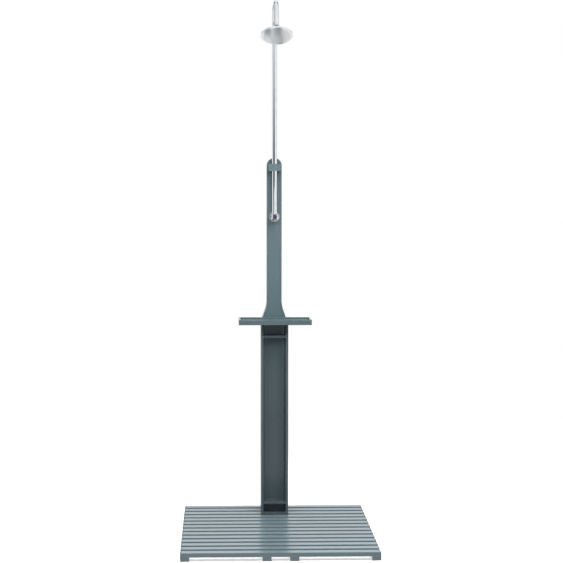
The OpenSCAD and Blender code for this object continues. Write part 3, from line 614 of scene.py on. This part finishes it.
@dataclass
class Screw:
    """A small screw, its head's face at zero and its shank along -Z.

    The last five fields are shares of the height or radius of its head or shank.
    """

    head: Head
    drive: Drive
    head_r: float
    head_h: float
    shank_r: float
    length: float
    sides: int = 32
    rounding: float = 0.35
    recess: float = 0.6
    socket: float = 0.45
    cross: Pair = (1.1, 0.24)
    point: float = 0.25

    def model(self) -> Piece:
        """Turns the head and shank, rounds the head and cuts its recess."""
        if self.head is Head.PAN:
            body = drum(self.head_r, -self.head_h, 0.0, self.sides)
            soften(body, self.head_h * self.rounding, 2, 50.0)
        else:
            body = drum(self.shank_r, -self.head_h, 0.0, self.sides, self.head_r)
        reach = self.head_h * self.recess
        if self.drive is Drive.HEXAGON:
            carve(body, drum(self.head_r * self.socket, -reach, MM, 6))
        else:
            slot = (self.head_r * self.cross[0], self.head_r * self.cross[1], 2 * reach)
            for turn in (0.0, math.pi / 2):
                carve(body, block(slot, turn=turn))
        shank = drum(self.shank_r, -self.length, -self.head_h * 0.9, self.sides // 2)
        soften(shank, self.shank_r * self.point, 1, 50.0)
        return join([body, shank])


@dataclass
class Weld:
    """A fillet weld laid in short overlapping ripples."""

    throat: float = 2.4 * MM
    pitch: float = 2.6 * MM
    overlap: float = 1.7
    taper: float = 0.72
    rounding: float = 0.22

    def bead(self, start: Place, end: Place) -> Piece:
        """Lays one bead from start to end.

        Args:
            start: the bead's first point.
            end: its last point.

        Returns:
            The bead in place.
        """
        a, b = Vector(start), Vector(end)
        count = max(2, int((b - a).length / self.pitch))
        ripple = drum(
            self.throat, 0.0, self.pitch * self.overlap, 12, self.throat * self.taper
        )
        soften(ripple, self.throat * self.rounding, 2, 40.0)
        modify(
            ripple, "ARRAY", count=count, use_relative_offset=False, use_constant_offset=True,
            constant_offset_displace=(0.0, 0.0, (b - a).length / count),
        )
        ripple.matrix_world = facing(a, b - a)
        return settle(ripple)

    def run(self, lines: Sequence[tuple[Place, Place]]) -> Piece:
        """Lays a bead along each line and joins them."""
        return join([self.bead(a, b) for a, b in lines])


@dataclass
class Wardrobe:
    """The finish of each material slot, made once."""

    made: dict[str, Material] = field(default_factory=dict)
    weld_gap: float = 1e-6

    def fill(self) -> None:
        """Makes every finish of the record's slots."""
        ball, arm = joint("head_swivel")
        tilt = -math.atan2(arm.y, arm.z)
        finishes: dict[str, Finish] = {
            # the post's coat carries painted shade that darkens it towards the bottom
            "post_paint": PowderCoat(
                "Powder coat blue-grey", "#5f7379", 0.22, coat=0.2, ior=1.42, low_shade=0.52),
            "slat_paint": PowderCoat(
                "Powder coat on slats", "#708087", 0.20, coat=0.0, ior=1.42),
            "bearer_paint": PowderCoat("Powder coat on bearers", "#62727a", 0.24),
            "clamp_paint": PowderCoat("Powder coat satin", "#61757b", 0.30),
            "plug_plastic": Moulded(
                "Moulded polyamide grey", "#465359", 0.42, "#39454a", 0.6, 0.03),
            "steel": Machined(
                "Stainless steel brushed", "#b4b7b9", 0.28, (1.0, 1.0, 0.05), 0.5, "#8c8f91"),
            "spray_steel": SpunFace("Satin steel spun", "#f3f4f5", 0.115, tuple(ball), tilt),
            "chrome": Plating("Chrome plate polished", "#e9ecef", 0.05),
            "supply_chrome": Plating("Chrome plate on copper pipe", "#dde0e2", 0.09),
            "brass": Machined(
                "Brass turned", "#c6a464", 0.27, (0.05, 1.0, 0.05), 0.4, "#8a6d3c"),
            "clip_brass": Machined(
                "Brass cast", "#bb9a5c", 0.38, (1.0, 1.0, 1.0), 0.7, "#846a3d"),
            "ceramic": Moulded(
                "Alumina lapped", "#ece9e1", 0.12, "#dcd8cd", 0.3, 0.004, 1.7, 0.3),
            "seat_plastic": Moulded("Acetal natural", "#e6e4da", 0.33, "#d2cfc3", 0.6, 0.01),
            "cap_plastic": Moulded(
                "Moulded cap navy", "#34305c", 0.18, "#242148", 0.8, 0.006, 1.5, 0.6),
            "nozzle_rubber": Moulded(
                "Silicone rubber dark", "#34373b", 0.6, "#26292c", 0.25, 0.012, 1.40),
        }
        for slot, finish in finishes.items():
            self.made[slot] = finish.make()
            LOG.info("finish %s for %s", finish.name, slot)

    def dress_nodes(self) -> None:
        """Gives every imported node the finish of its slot."""
        for row in frame["record"]["subparts"]:
            node = frame["nodes"][row["node"]]
            node.data.materials.clear()
            node.data.materials.append(self.made[row["material_slot"]])

    def finish(
        self, piece: Piece, name: str, body: str, slot: str, place: Matrix | None = None,
        stands_for: Sequence[str] = (), smooth: float = 35.0,
    ) -> None:
        """Places a piece, dresses it and lets it ride on its body.

        Args:
            piece: the modelled piece.
            name: its name.
            body: the body that it rides on.
            slot: its material slot in the record, which gives its finish.
            place: where it goes, if it isn't there yet.
            stands_for: the nodes that it replaces.
            smooth: edges below this angle in degrees are shaded smooth.
        """
        if place is not None:
            piece.matrix_world = place @ piece.matrix_world
        settle(piece)
        edit(piece, None, lambda: bpy.ops.mesh.remove_doubles(threshold=self.weld_gap))
        only(piece)
        bpy.ops.object.shade_smooth_by_angle(angle=math.radians(smooth))
        piece.name = name
        piece.data.name = name
        piece.data.materials.clear()
        piece.data.materials.append(self.made[slot])
        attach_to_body(piece, body)
        if stands_for:
            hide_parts(*stands_for)
        LOG.info("piece %s: %d faces, on %s", name, len(piece.data.polygons), body)

    def fasten(self, screw: Screw, places: Sequence[Matrix], name: str, group: str) -> None:
        """Puts a steel screw at each place, for a packed group of screws."""
        screws = copies(screw.model(), places)
        self.finish(screws, name, "post", "steel", stands_for=[group])


@dataclass
class Edges:
    """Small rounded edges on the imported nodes, as saw, mill and mould leave them."""

    widths: dict[str, float] = field(default_factory=lambda: {
        "slat_": 1.0, "bearer_": 1.2, "foot_plate": 0.8, "column": 1.0, "stiffeners_": 0.8,
        "tray_floor": 0.5, "tray_cross_plates": 0.8, "tray_side_plates": 0.8,
        "tray_seat_plate": 0.5, "post_face_plate": 0.4, "post_edge_band": 1.0,
        "riser_clamp": 0.8, "escutcheon": 0.3, "valve_body": 0.5, "arm_plug": 0.4,
        "neck_nut": 0.6,
    })
    weld_gap: float = 2e-6
    flat_angle: float = 0.4
    sharp_angle: float = 34.0
    segments: int = 2
    face_weight: int = 80

    def round_off(self) -> None:
        """Welds, simplifies and rounds each listed node with live modifiers."""
        for name, node in frame["nodes"].items():
            width = next((w for key, w in self.widths.items() if name.startswith(key)), None)
            if width is None or name == "slat_screws":
                continue
            only(node)
            bpy.ops.object.shade_smooth()
            attach(node, "WELD", merge_threshold=self.weld_gap)
            attach(
                node, "DECIMATE", decimate_type="DISSOLVE",
                angle_limit=math.radians(self.flat_angle),
            )
            attach(
                node, "BEVEL", width=width * MM, segments=self.segments, limit_method="ANGLE",
                angle_limit=math.radians(self.sharp_angle), use_clamp_overlap=True,
            )
            attach(node, "WEIGHTED_NORMAL", keep_sharp=True, weight=self.face_weight)
            LOG.info("edges of %s rounded by %.1f mm", name, width)


@dataclass
class Platform:
    """Slats on four bearers, held from below."""

    wardrobe: Wardrobe
    slats: int = 14
    bearers: tuple[str, ...] = (
        "bearer_left", "bearer_mid_left", "bearer_mid_right", "bearer_right"
    )
    screw: Screw = field(default_factory=lambda: Screw(
        Head.PAN, Drive.HEXAGON, 4.5 * MM, 3.0 * MM, 2.4 * MM, 23.5 * MM, 16))
    bolt: Screw = field(default_factory=lambda: Screw(
        Head.COUNTERSUNK, Drive.HEXAGON, 9.5 * MM, 5.0 * MM, 5.0 * MM, 34.0 * MM))

    def build(self) -> None:
        """Makes the screws under the slats and the foot bolts."""
        sink = span("slat_screws")[0].z
        down = Matrix.Rotation(math.pi, 4, "X")
        places = [
            Matrix.Translation((span(b)[2].x, span(f"slat_{i:02d}")[2].y, sink)) @ down
            for i in range(1, self.slats + 1) for b in self.bearers
        ]
        self.wardrobe.fasten(self.screw, places, "slat_screw_set", "slat_screws")
        low, high, _ = span("foot_bolts")
        r = self.bolt.head_r
        tops = [
            Matrix.Translation((x, y, high.z))
            for x in (low.x + r, high.x - r) for y in (low.y + r, high.y - r)
        ]
        self.wardrobe.fasten(self.bolt, tops, "foot_bolt_set", "foot_bolts")


@dataclass
class Column:
    """The H-section with its foot and stiffeners, welded together."""

    wardrobe: Wardrobe
    weld: Weld = field(default_factory=Weld)
    root: float = 13 * MM
    toe: float = 5 * MM
    snipe: float = 16 * MM

    def build(self) -> None:
        """Lays the welds at the foot and round the four stiffener plates."""
        low, high, _ = span("stiffeners_low")
        inner, front, back = high.x, low.y, high.y
        web_front, web_back = span("tray_side_plates")[1].y, span("wall_elbow")[0].y
        levels = [(span("column")[0].z, self.root)]
        for name in ("stiffeners_low", "stiffeners_high"):
            plate = span(name)
            levels += [(plate[0].z, self.snipe), (plate[1].z, self.snipe)]
        lines = []
        for z, clear in levels:
            for toe, web in ((front, web_front), (back, web_back)):
                step = math.copysign(1.0, web - toe)
                a, b = toe + step * self.toe, web - step * clear
                lines += [((side * inner, a, z), (side * inner, b, z)) for side in (-1, 1)]
                lines.append(((clear - inner, web, z), (inner - clear, web, z)))
        self.wardrobe.finish(self.weld.run(lines), "column_welds", "post", "post_paint")


@dataclass
class SoapTray:
    """The tray on the column's top."""

    wardrobe: Wardrobe
    screw: Screw = field(default_factory=lambda: Screw(
        Head.COUNTERSUNK, Drive.HEXAGON, 6.0 * MM, 3.2 * MM, 3.0 * MM, 14.1 * MM))
    weld: Weld = field(default_factory=lambda: Weld(1.6 * MM, 2.2 * MM))

    def build(self) -> None:
        """Makes the tray's screws and the welds under its side plates."""
        low, high, _ = span("tray_screws")
        r = self.screw.head_r
        y = (low.y + high.y) / 2
        tops = [Matrix.Translation((x, y, high.z)) for x in (low.x + r, high.x - r)]
        self.wardrobe.fasten(self.screw, tops, "tray_screw_set", "tray_screws")
        floor_low, floor_high, _ = span("tray_floor")
        z = floor_low.z
        lines = [
            ((x, floor_low.y, z), (x, floor_high.y, z)) for x in (floor_low.x, floor_high.x)
        ] + [((floor_low.x, floor_low.y, z), (floor_high.x, floor_low.y, z))]
        self.wardrobe.finish(self.weld.run(lines), "tray_welds", "post", "post_paint")


@dataclass
class UpperPost:
    """The narrower post: a face plate stitched into its edge band from behind."""

    wardrobe: Wardrobe
    weld: Weld = field(default_factory=lambda: Weld(2.0 * MM, 2.4 * MM))
    wall: float = 2 * MM
    stitch: float = 30 * MM
    pitch: float = 110 * MM
    lowest: float = 1.07
    highest: float = 1.53

    def build(self) -> None:
        """Lays the stitch welds in the post's rear channel."""
        _, high, _ = span("post_face_plate")
        half = span("riser_clamp")[1].x - self.wall
        count = int((self.highest - self.lowest) / self.pitch) + 1
        lines = [
            ((side * half, high.y, z), (side * half, high.y, z + self.stitch))
            for side in (-1, 1) for z in (self.lowest + i * self.pitch for i in range(count))
        ]
        self.wardrobe.finish(self.weld.run(lines), "post_stitch_welds", "post", "post_paint")


@dataclass
class Valve:
    """The valve's knob, cap and back nut."""

    wardrobe: Wardrobe
    lobes: int = 6
    hollow_r: float = 9 * MM
    hollow_depth: float = 3.2 * MM
    dish_r: float = 9 * MM
    dish_depth: float = 6 * MM
    bore_r: float = 4.7 * MM
    bore_depth: float = 11.1 * MM
    screw_r: float = 2.2 * MM
    edge: float = 0.8 * MM
    nut_hole_r: float = 15.6 * MM
    bead_set: float = 2.2 * MM
    bead_r: float = 0.8 * MM
    mark_size: Place = (4.6 * MM, 1.7 * MM, 0.5 * MM)
    mark_out: float = 12.9 * MM
    mark_sink: float = 0.1 * MM
    cap_wall: float = 1.6 * MM
    dome: tuple[Pair, ...] = (
        (1.6 * MM, 0.5 * MM), (2.6 * MM, 0.3 * MM), (2.4 * MM, 0.1 * MM)
    )
    nut_chamfer: float = 2.2 * MM

    def build(self) -> None:
        """Makes the knob, its cap and mark, and the chamfered back nut."""
        axis, way = joint("knob_turn")
        low, high, _ = span("knob")
        length, radius = high.y - low.y, high.x
        place = facing((axis.x, high.y, axis.z), way)
        knob = drum(radius, 0.0, length, 144)
        reach = radius + self.hollow_r - self.hollow_depth
        for i in range(self.lobes):
            turn = (i + 0.5) * 2 * math.pi / self.lobes
            tool = drum(self.hollow_r, -MM, length + MM, 72)
            tool.location = (reach * math.cos(turn), reach * math.sin(turn), 0.0)
            carve(knob, settle(tool))
        carve(knob, drum(self.dish_r, length - self.dish_depth, length + MM, 72))
        carve(knob, drum(self.bore_r, -MM, self.bore_depth, 32))
        carve(knob, drum(self.screw_r, 0.0, length, 24))
        soften(knob, self.edge, 4, 28.0)
        self.wardrobe.finish(knob, "lobed_knob", "knob_unit", "chrome", place, ["knob"], 30.0)
        self.cap(axis, way)
        self.mark(place, length)
        self.trim(axis)
        self.back_nut(axis)

    def cap(self, axis: Vector, way: Vector) -> None:
        """Makes the domed cap in the knob's dish.

        Args:
            axis: a point on the valve's axis.
            way: the axis towards the front.
        """
        low, high, _ = span("knob_cap")
        depth = high.y - low.y
        cap = drum(high.x, 0.0, depth, 64)
        steps: list[Step] = []
        for inset, rise in self.dome:
            steps += [
                partial(bpy.ops.mesh.inset, thickness=inset),
                partial(bpy.ops.transform.translate, value=(0, 0, rise)),
            ]
        edit(cap, lambda _, n: n.z > FACING, *steps)
        edit(
            cap, lambda _, n: n.z < -FACING,
            lambda: bpy.ops.mesh.inset(thickness=self.cap_wall),
            lambda: bpy.ops.transform.translate(value=(0, 0, depth - self.cap_wall)),
        )
        soften(cap, 0.4 * MM, 3, 40.0)
        self.wardrobe.finish(
            cap, "navy_cap", "knob_unit", "cap_plastic",
            facing((axis.x, high.y, axis.z), way), ["knob_cap"], 50.0,
        )

    def mark(self, place: Matrix, length: float) -> None:
        """Makes the dark index mark on the knob's left lobe.

        Args:
            place: the knob's frame.
            length: the knob's length.
        """
        mark = block(self.mark_size, (-self.mark_out, 0.0, length - self.mark_sink))
        soften(mark, 0.2 * MM, 2, 40.0)
        self.wardrobe.finish(mark, "index_mark", "knob_unit", "cap_plastic", place)

    def trim(self, axis: Vector) -> None:
        """Makes the bright bead pressed into the escutcheon's rim.

        Args:
            axis: a point on the valve's axis.
        """
        low, high, _ = span("escutcheon")
        clear()
        bpy.ops.mesh.primitive_torus_add(
            major_radius=high.x - self.bead_set, minor_radius=self.bead_r,
            major_segments=120, minor_segments=16,
        )
        self.wardrobe.finish(
            bpy.context.object, "escutcheon_bead", "post", "chrome",
            facing((axis.x, low.y, axis.z), (0, -1, 0)), smooth=50.0,
        )

    def back_nut(self, axis: Vector) -> None:
        """Makes the back nut.

        Args:
            axis: a point on the valve's axis.
        """
        low, high, _ = span("valve_back_nut")
        thick = high.y - low.y
        radius = max(high.x, high.z - axis.z)
        nut = hexagon(radius, 0.0, thick, self.nut_chamfer)
        carve(nut, drum(self.nut_hole_r, -MM, thick + MM, 64))
        soften(nut, 0.25 * MM, 2, 25.0)
        self.wardrobe.finish(
            nut, "chamfered_back_nut", "post", "brass",
            facing((axis.x, low.y, axis.z), (0, 1, 0)), ["valve_back_nut"], 30.0,
        )


@dataclass
class Supply:
    """The inlet behind the column's foot."""

    wardrobe: Wardrobe
    thread_r: float = 10.48 * MM
    root_r: float = 9.32 * MM
    thread_pitch: float = 1.814 * MM
    hex_r: float = 14 * MM
    hex_t: float = 6 * MM
    bite: float = 8 * MM
    bore_r: float = 6.5 * MM
    dab_r: float = 3.4 * MM
    dab_t: float = 0.4 * MM
    hex_chamfer: float = 1.4 * MM
    runout: Pair = (0.6 * MM, 0.8 * MM)
    ridge_half: float = 0.46
    ridge_sink: float = 0.2 * MM
    ridge_steps: int = 40
    screw: Screw = field(default_factory=lambda: Screw(
        Head.PAN, Drive.CROSS, 4.0 * MM, 3.0 * MM, 2.5 * MM, 13.5 * MM, 24))

    def build(self) -> None:
        """Makes the nipple, the elbow's screws and the paint that seals their ends."""
        low, high, middle = span("hose_nipple")
        length = high.y - low.y
        start = self.bite + self.hex_t
        core = drum(self.root_r, 0.0, length, 64)
        collar = drum(self.thread_r, 0.0, self.bite, 64)
        grip = hexagon(self.hex_r, self.bite, start, self.hex_chamfer)
        for part in (collar, grip):
            carve(core, part, "UNION")
        carve(core, drum(self.bore_r, -MM, length + MM, 64))
        soften(core, 0.3 * MM, 2, 40.0)
        thread = self.thread(start + self.runout[0], length - self.runout[1])
        self.wardrobe.finish(
            join([core, thread]), "threaded_nipple", "post", "brass",
            facing((middle.x, low.y, middle.z), (0, 1, 0)), ["hose_nipple"], 30.0,
        )
        low, high, middle = span("elbow_screws")
        sides = (low.x + self.screw.head_r, high.x - self.screw.head_r)
        places = [facing((x, high.y, middle.z), (0, 1, 0)) for x in sides]
        self.wardrobe.fasten(self.screw, places, "elbow_screw_set", "elbow_screws")
        web = span("tray_side_plates")[1].y
        dab = drum(self.dab_r, -0.2 * MM, self.dab_t, 24)
        soften(dab, self.dab_t * 0.8, 2, 50.0)
        places = [facing((x, web, middle.z), (0, -1, 0)) for x in sides]
        self.wardrobe.finish(copies(dab, places), "screw_end_dabs", "post", "post_paint")

    def thread(self, low: float, high: float) -> Piece:
        """Winds the thread's ridge round the nipple.

        Args:
            low: where the ridge starts.
            high: where it ends.

        Returns:
            The ridge.
        """
        clear()
        bpy.ops.mesh.primitive_circle_add(vertices=3, radius=1.0, fill_type="NGON")
        ridge = bpy.context.object
        half, root = self.thread_pitch * self.ridge_half, self.root_r - self.ridge_sink
        corners = ((root, low - half), (self.thread_r, low), (root, low + half))
        for vertex, (x, z) in zip(ridge.data.vertices, corners):
            vertex.co = (x, 0.0, z)
        modify(
            ridge, "SCREW", axis="Z", angle=2 * math.pi, screw_offset=self.thread_pitch,
            iterations=int((high - low) / self.thread_pitch), steps=self.ridge_steps,
            render_steps=self.ridge_steps, use_normal_calculate=True,
        )
        return edit(
            ridge, None,
            lambda: bpy.ops.mesh.fill_holes(sides=0),
            lambda: bpy.ops.mesh.normals_make_consistent(inside=False),
        )


@dataclass
class ShowerHead:
    """The head's rubber nozzles in their rings."""

    wardrobe: Wardrobe
    rings: int = 5
    ring_pitch: float = 10.76 * MM
    nozzle_r: float = 1.6 * MM
    tip_r: float = 1.9 * MM
    collar_r: float = 2.6 * MM
    out: float = 1.4 * MM
    plate_t: float = 3 * MM
    mat_t: float = 1.5 * MM
    mat_r: float = 60.8 * MM
    face_drop: float = 32.5 * MM
    tip_wall: float = 0.6 * MM
    tip_bore: float = 1.2 * MM

    def nozzle(self) -> Piece:
        """Moulds one nozzle: a stem, a collar on the plate's face, a cone and its bore."""
        stem = drum(self.nozzle_r, -0.1 * MM, self.plate_t, 14)
        collar = drum(self.tip_r, -self.out, 0.0, 18, self.collar_r)
        edit(
            collar, lambda _, n: n.z < -FACING,
            lambda: bpy.ops.mesh.inset(thickness=self.tip_wall),
            lambda: bpy.ops.mesh.extrude_region_move(
                TRANSFORM_OT_translate={"value": (0, 0, self.tip_bore)}),
        )
        return join([collar, stem])

    def build(self) -> None:
        """Places a nozzle in the middle and in every ring, on one mat."""
        ball, arm = joint("head_swivel")
        place = facing(ball, arm) @ Matrix.Translation((0, 0, -self.face_drop))
        spots = [(0.0, 0.0)]
        for k in range(1, self.rings + 1):
            radius = k * self.ring_pitch
            for i in range(6 * k):
                turn = 2 * math.pi * i / (6 * k)
                spots.append((radius * math.cos(turn), radius * math.sin(turn)))
        places = [Matrix.Translation((x, y, 0)) for x, y in spots]
        nozzles = copies(self.nozzle(), places)
        mat = drum(self.mat_r, self.plate_t, self.plate_t + self.mat_t, 96)
        soften(mat, 0.3 * MM, 2, 40.0)
        self.wardrobe.finish(
            join([nozzles, mat]), "nozzle_field", "shower_head", "nozzle_rubber", place,
            ["nozzle_mat"], 40.0,
        )


@dataclass(frozen=True)
class Lamp:
    """A square soft lamp, with its side in metres and its power in watts."""

    name: str
    where: Place
    side: float
    power: float


@dataclass(frozen=True)
class Card:
    """A dark card bent round the riser, which only reflections see.

    Its reach and fade are heights, its turn is in degrees to the right of the front,
    and its glow changes over the fade, or else from its lower edge to its upper one.
    """

    name: str
    reach: Pair
    turn: Pair
    glow: Pair
    fade: Pair | None = None
    radius: float = 5.0


LAMPS = (
    Lamp("top_lamp", (0.3, -0.4, 5.2), 3.0, 140.0),
    Lamp("key_lamp", (1.1, -2.0, 3.0), 1.8, 58.0),
    Lamp("fill_lamp", (-2.0, -2.8, 2.7), 1.8, 38.0),
    Lamp("low_lamp", (-0.5, -3.6, 0.8), 1.2, 14.0),
)
CARDS = (
    Card("sky_card", (3.6, 12.0), (-120.0, -66.0), (0.62, 0.62)),
    Card("high_card", (1.45, 3.6), (-66.0, 9.0), (0.04, 0.75), (1.7, 2.7)),
    Card("knob_card", (1.02, 1.45), (-66.0, -18.0), (0.40, 0.14)),
    Card("low_card", (-0.4, 0.95), (-8.0, 9.0), (0.04, 0.04)),
    Card("right_card", (-0.4, 12.0), (128.0, 146.0), (0.12, 0.35)),
    Card("left_card", (-0.4, 12.0), (-150.0, -128.0), (0.12, 0.35)),
    Card("rear_card", (0.4, 1.3), (171.0, 173.3), (0.06, 0.06), radius=0.68),
)


@dataclass
class Studio:
    """Pale floor, white surroundings, soft lamps and the camera."""

    eye: Place = (-0.24254, -5.80661, 1.51143)
    yaw: float = 0.02459
    pitch: float = -0.0448
    sensor: float = 36.0
    lens: float = 88.117
    shift: Pair = (0.05, -0.07)
    clip: Pair = (0.05, 100.0)
    target: Place = (0.0, 0.1, 1.75)
    sky_tint: tuple[float, ...] = (0.97, 0.99, 1.0, 1.0)
    sky_light: Pair = (0.08, 0.75)
    sky_rise: Pair = (-0.1, 0.6)
    floor_r: float = 14.0
    floor_sides: int = 128
    floor_tone: float = 0.80
    floor_glow: float = 0.42
    floor_fade: Pair = (0.9, 2.0)
    card_sides: int = 480

    def build(self) -> None:
        """Sets the floor, the world, the lamps, the dark cards and the camera."""
        self.floor()
        self.world()
        for lamp in LAMPS:
            self.hang(lamp)
        for card in CARDS:
            self.bend(card)
        self.camera()

    def rays(self, nodes: Nodes, *names: str) -> Socket:
        """Returns a value that is one for any of the named kinds of ray.

        Args:
            nodes: the nodes that ask.
            *names: the kinds of ray.

        Returns:
            One or zero.
        """
        path = nodes.add("ShaderNodeLightPath")
        found = path.outputs[names[0]]
        for name in names[1:]:
            found = nodes.blend("MAXIMUM", found, path.outputs[name])
        return found

    def floor(self) -> None:
        """Lays a pale round floor that keeps the shadow and fades to white."""
        clear()
        bpy.ops.mesh.primitive_circle_add(
            vertices=self.floor_sides, radius=self.floor_r, fill_type="NGON"
        )
        floor = bpy.context.object
        floor.name = "floor"
        material = bpy.data.materials.new("Pale studio floor")
        nodes = Nodes(material)
        reach = nodes.add("ShaderNodeVectorMath", links={0: nodes.where}, operation="LENGTH")
        fade = nodes.ramp(
            reach.outputs["Value"], self.floor_fade, interpolation_type="SMOOTHSTEP"
        )
        paint = nodes.add("ShaderNodeBsdfDiffuse", {"Color": (*[self.floor_tone] * 3, 1.0)})
        glow = nodes.add("ShaderNodeEmission", {"Strength": self.floor_glow})
        near = nodes.add("ShaderNodeAddShader", links={0: paint.outputs[0], 1: glow.outputs[0]})
        white = nodes.add("ShaderNodeEmission", {"Strength": 1.0})
        seen = self.rays(nodes, "Is Glossy Ray", "Is Transmission Ray")
        share = nodes.blend("MAXIMUM", fade, seen)
        links = {0: share, 1: near.outputs[0], 2: white.outputs[0]}
        nodes.surface(nodes.add("ShaderNodeMixShader", links=links))
        floor.data.materials.append(material)
        floor.visible_diffuse = False

    def world(self) -> None:
        """Shows white to the eye and to mirrors, and lights softly from above."""
        world = bpy.data.worlds.new("studio")
        bpy.context.scene.world = world
        nodes = Nodes(world, "Generated")
        sky = nodes.ramp(nodes.height(), self.sky_rise, self.sky_light)
        soft = nodes.add("ShaderNodeBackground", {"Color": self.sky_tint}, {"Strength": sky})
        white = nodes.add("ShaderNodeBackground", {"Color": WHITE, "Strength": 1.0})
        share = self.rays(nodes, "Is Camera Ray", "Is Glossy Ray", "Is Transmission Ray")
        links = {0: share, 1: soft.outputs[0], 2: white.outputs[0]}
        nodes.surface(nodes.add("ShaderNodeMixShader", links=links), "World")

    def hang(self, lamp: Lamp) -> None:
        """Hangs a soft lamp that looks at the post's middle."""
        data = bpy.data.lights.new(lamp.name, "AREA")
        data.shape, data.size, data.energy = "SQUARE", lamp.side, lamp.power
        hung = bpy.data.objects.new(lamp.name, data)
        bpy.context.scene.collection.objects.link(hung)
        hung.location = lamp.where
        hung.rotation_mode = "QUATERNION"
        way = Vector(self.target) - Vector(lamp.where)
        hung.rotation_quaternion = way.to_track_quat("-Z", "Y")
        hung.visible_glossy = False
        hung.visible_camera = False

    def bend(self, plan: Card) -> None:
        """Bends a dark card round the riser.

        The chrome mirrors the cards on the left as the dark stripe beside the middle
        of each tube, and their glow changes with height, as the stripe does.

        Args:
            plan: the card's sizes and glow.
        """
        axis = span("supply_pipe")[2]
        clear()
        bpy.ops.mesh.primitive_cylinder_add(
            vertices=self.card_sides, radius=plan.radius, depth=plan.reach[1] - plan.reach[0],
            end_fill_type="NOTHING", location=(0.0, axis.y, sum(plan.reach) / 2),
        )
        card = settle(bpy.context.object)
        card.name = plan.name
        start, end = (math.radians(t) for t in plan.turn)
        edit(
            card,
            lambda c, _: not start < math.atan2(c.x, axis.y - c.y) < end,
            lambda: bpy.ops.mesh.delete(type="FACE"),
        )
        material = bpy.data.materials.new(plan.name)
        nodes = Nodes(material)
        level = nodes.ramp(nodes.height(), plan.fade or plan.reach, plan.glow)
        nodes.surface(nodes.add("ShaderNodeEmission", links={"Strength": level}))
        card.data.materials.append(material)
        for kind in ("camera", "diffuse", "shadow", "transmission"):
            setattr(card, f"visible_{kind}", False)

    def camera(self) -> None:
        """Sets the camera at the photograph's place and angle."""
        data = bpy.data.cameras.new("camera")
        data.sensor_width, data.lens = self.sensor, self.lens
        data.shift_x, data.shift_y = self.shift
        data.clip_start, data.clip_end = self.clip
        camera = bpy.data.objects.new("camera", data)
        bpy.context.scene.collection.objects.link(camera)
        look = Vector((
            math.sin(self.yaw) * math.cos(self.pitch),
            math.cos(self.yaw) * math.cos(self.pitch),
            math.sin(self.pitch),
        ))
        camera.location = self.eye
        camera.rotation_mode = "QUATERNION"
        camera.rotation_quaternion = look.to_track_quat("-Z", "Y")
        bpy.context.scene.camera = camera
        bpy.context.scene.view_settings.view_transform = "Standard"


def main() -> None:
    """Builds the finishes, the pieces and the studio."""
    logging.basicConfig(level=logging.INFO, format="%(message)s")
    wardrobe = Wardrobe()
    wardrobe.fill()
    wardrobe.dress_nodes()
    Edges().round_off()
    for part in (Platform, Column, SoapTray, UpperPost, Valve, Supply, ShowerHead):
        part(wardrobe).build()
        LOG.info("%s built", part.__name__)
    Studio().build()
    clear()


if __name__ == "__main__":
    main()
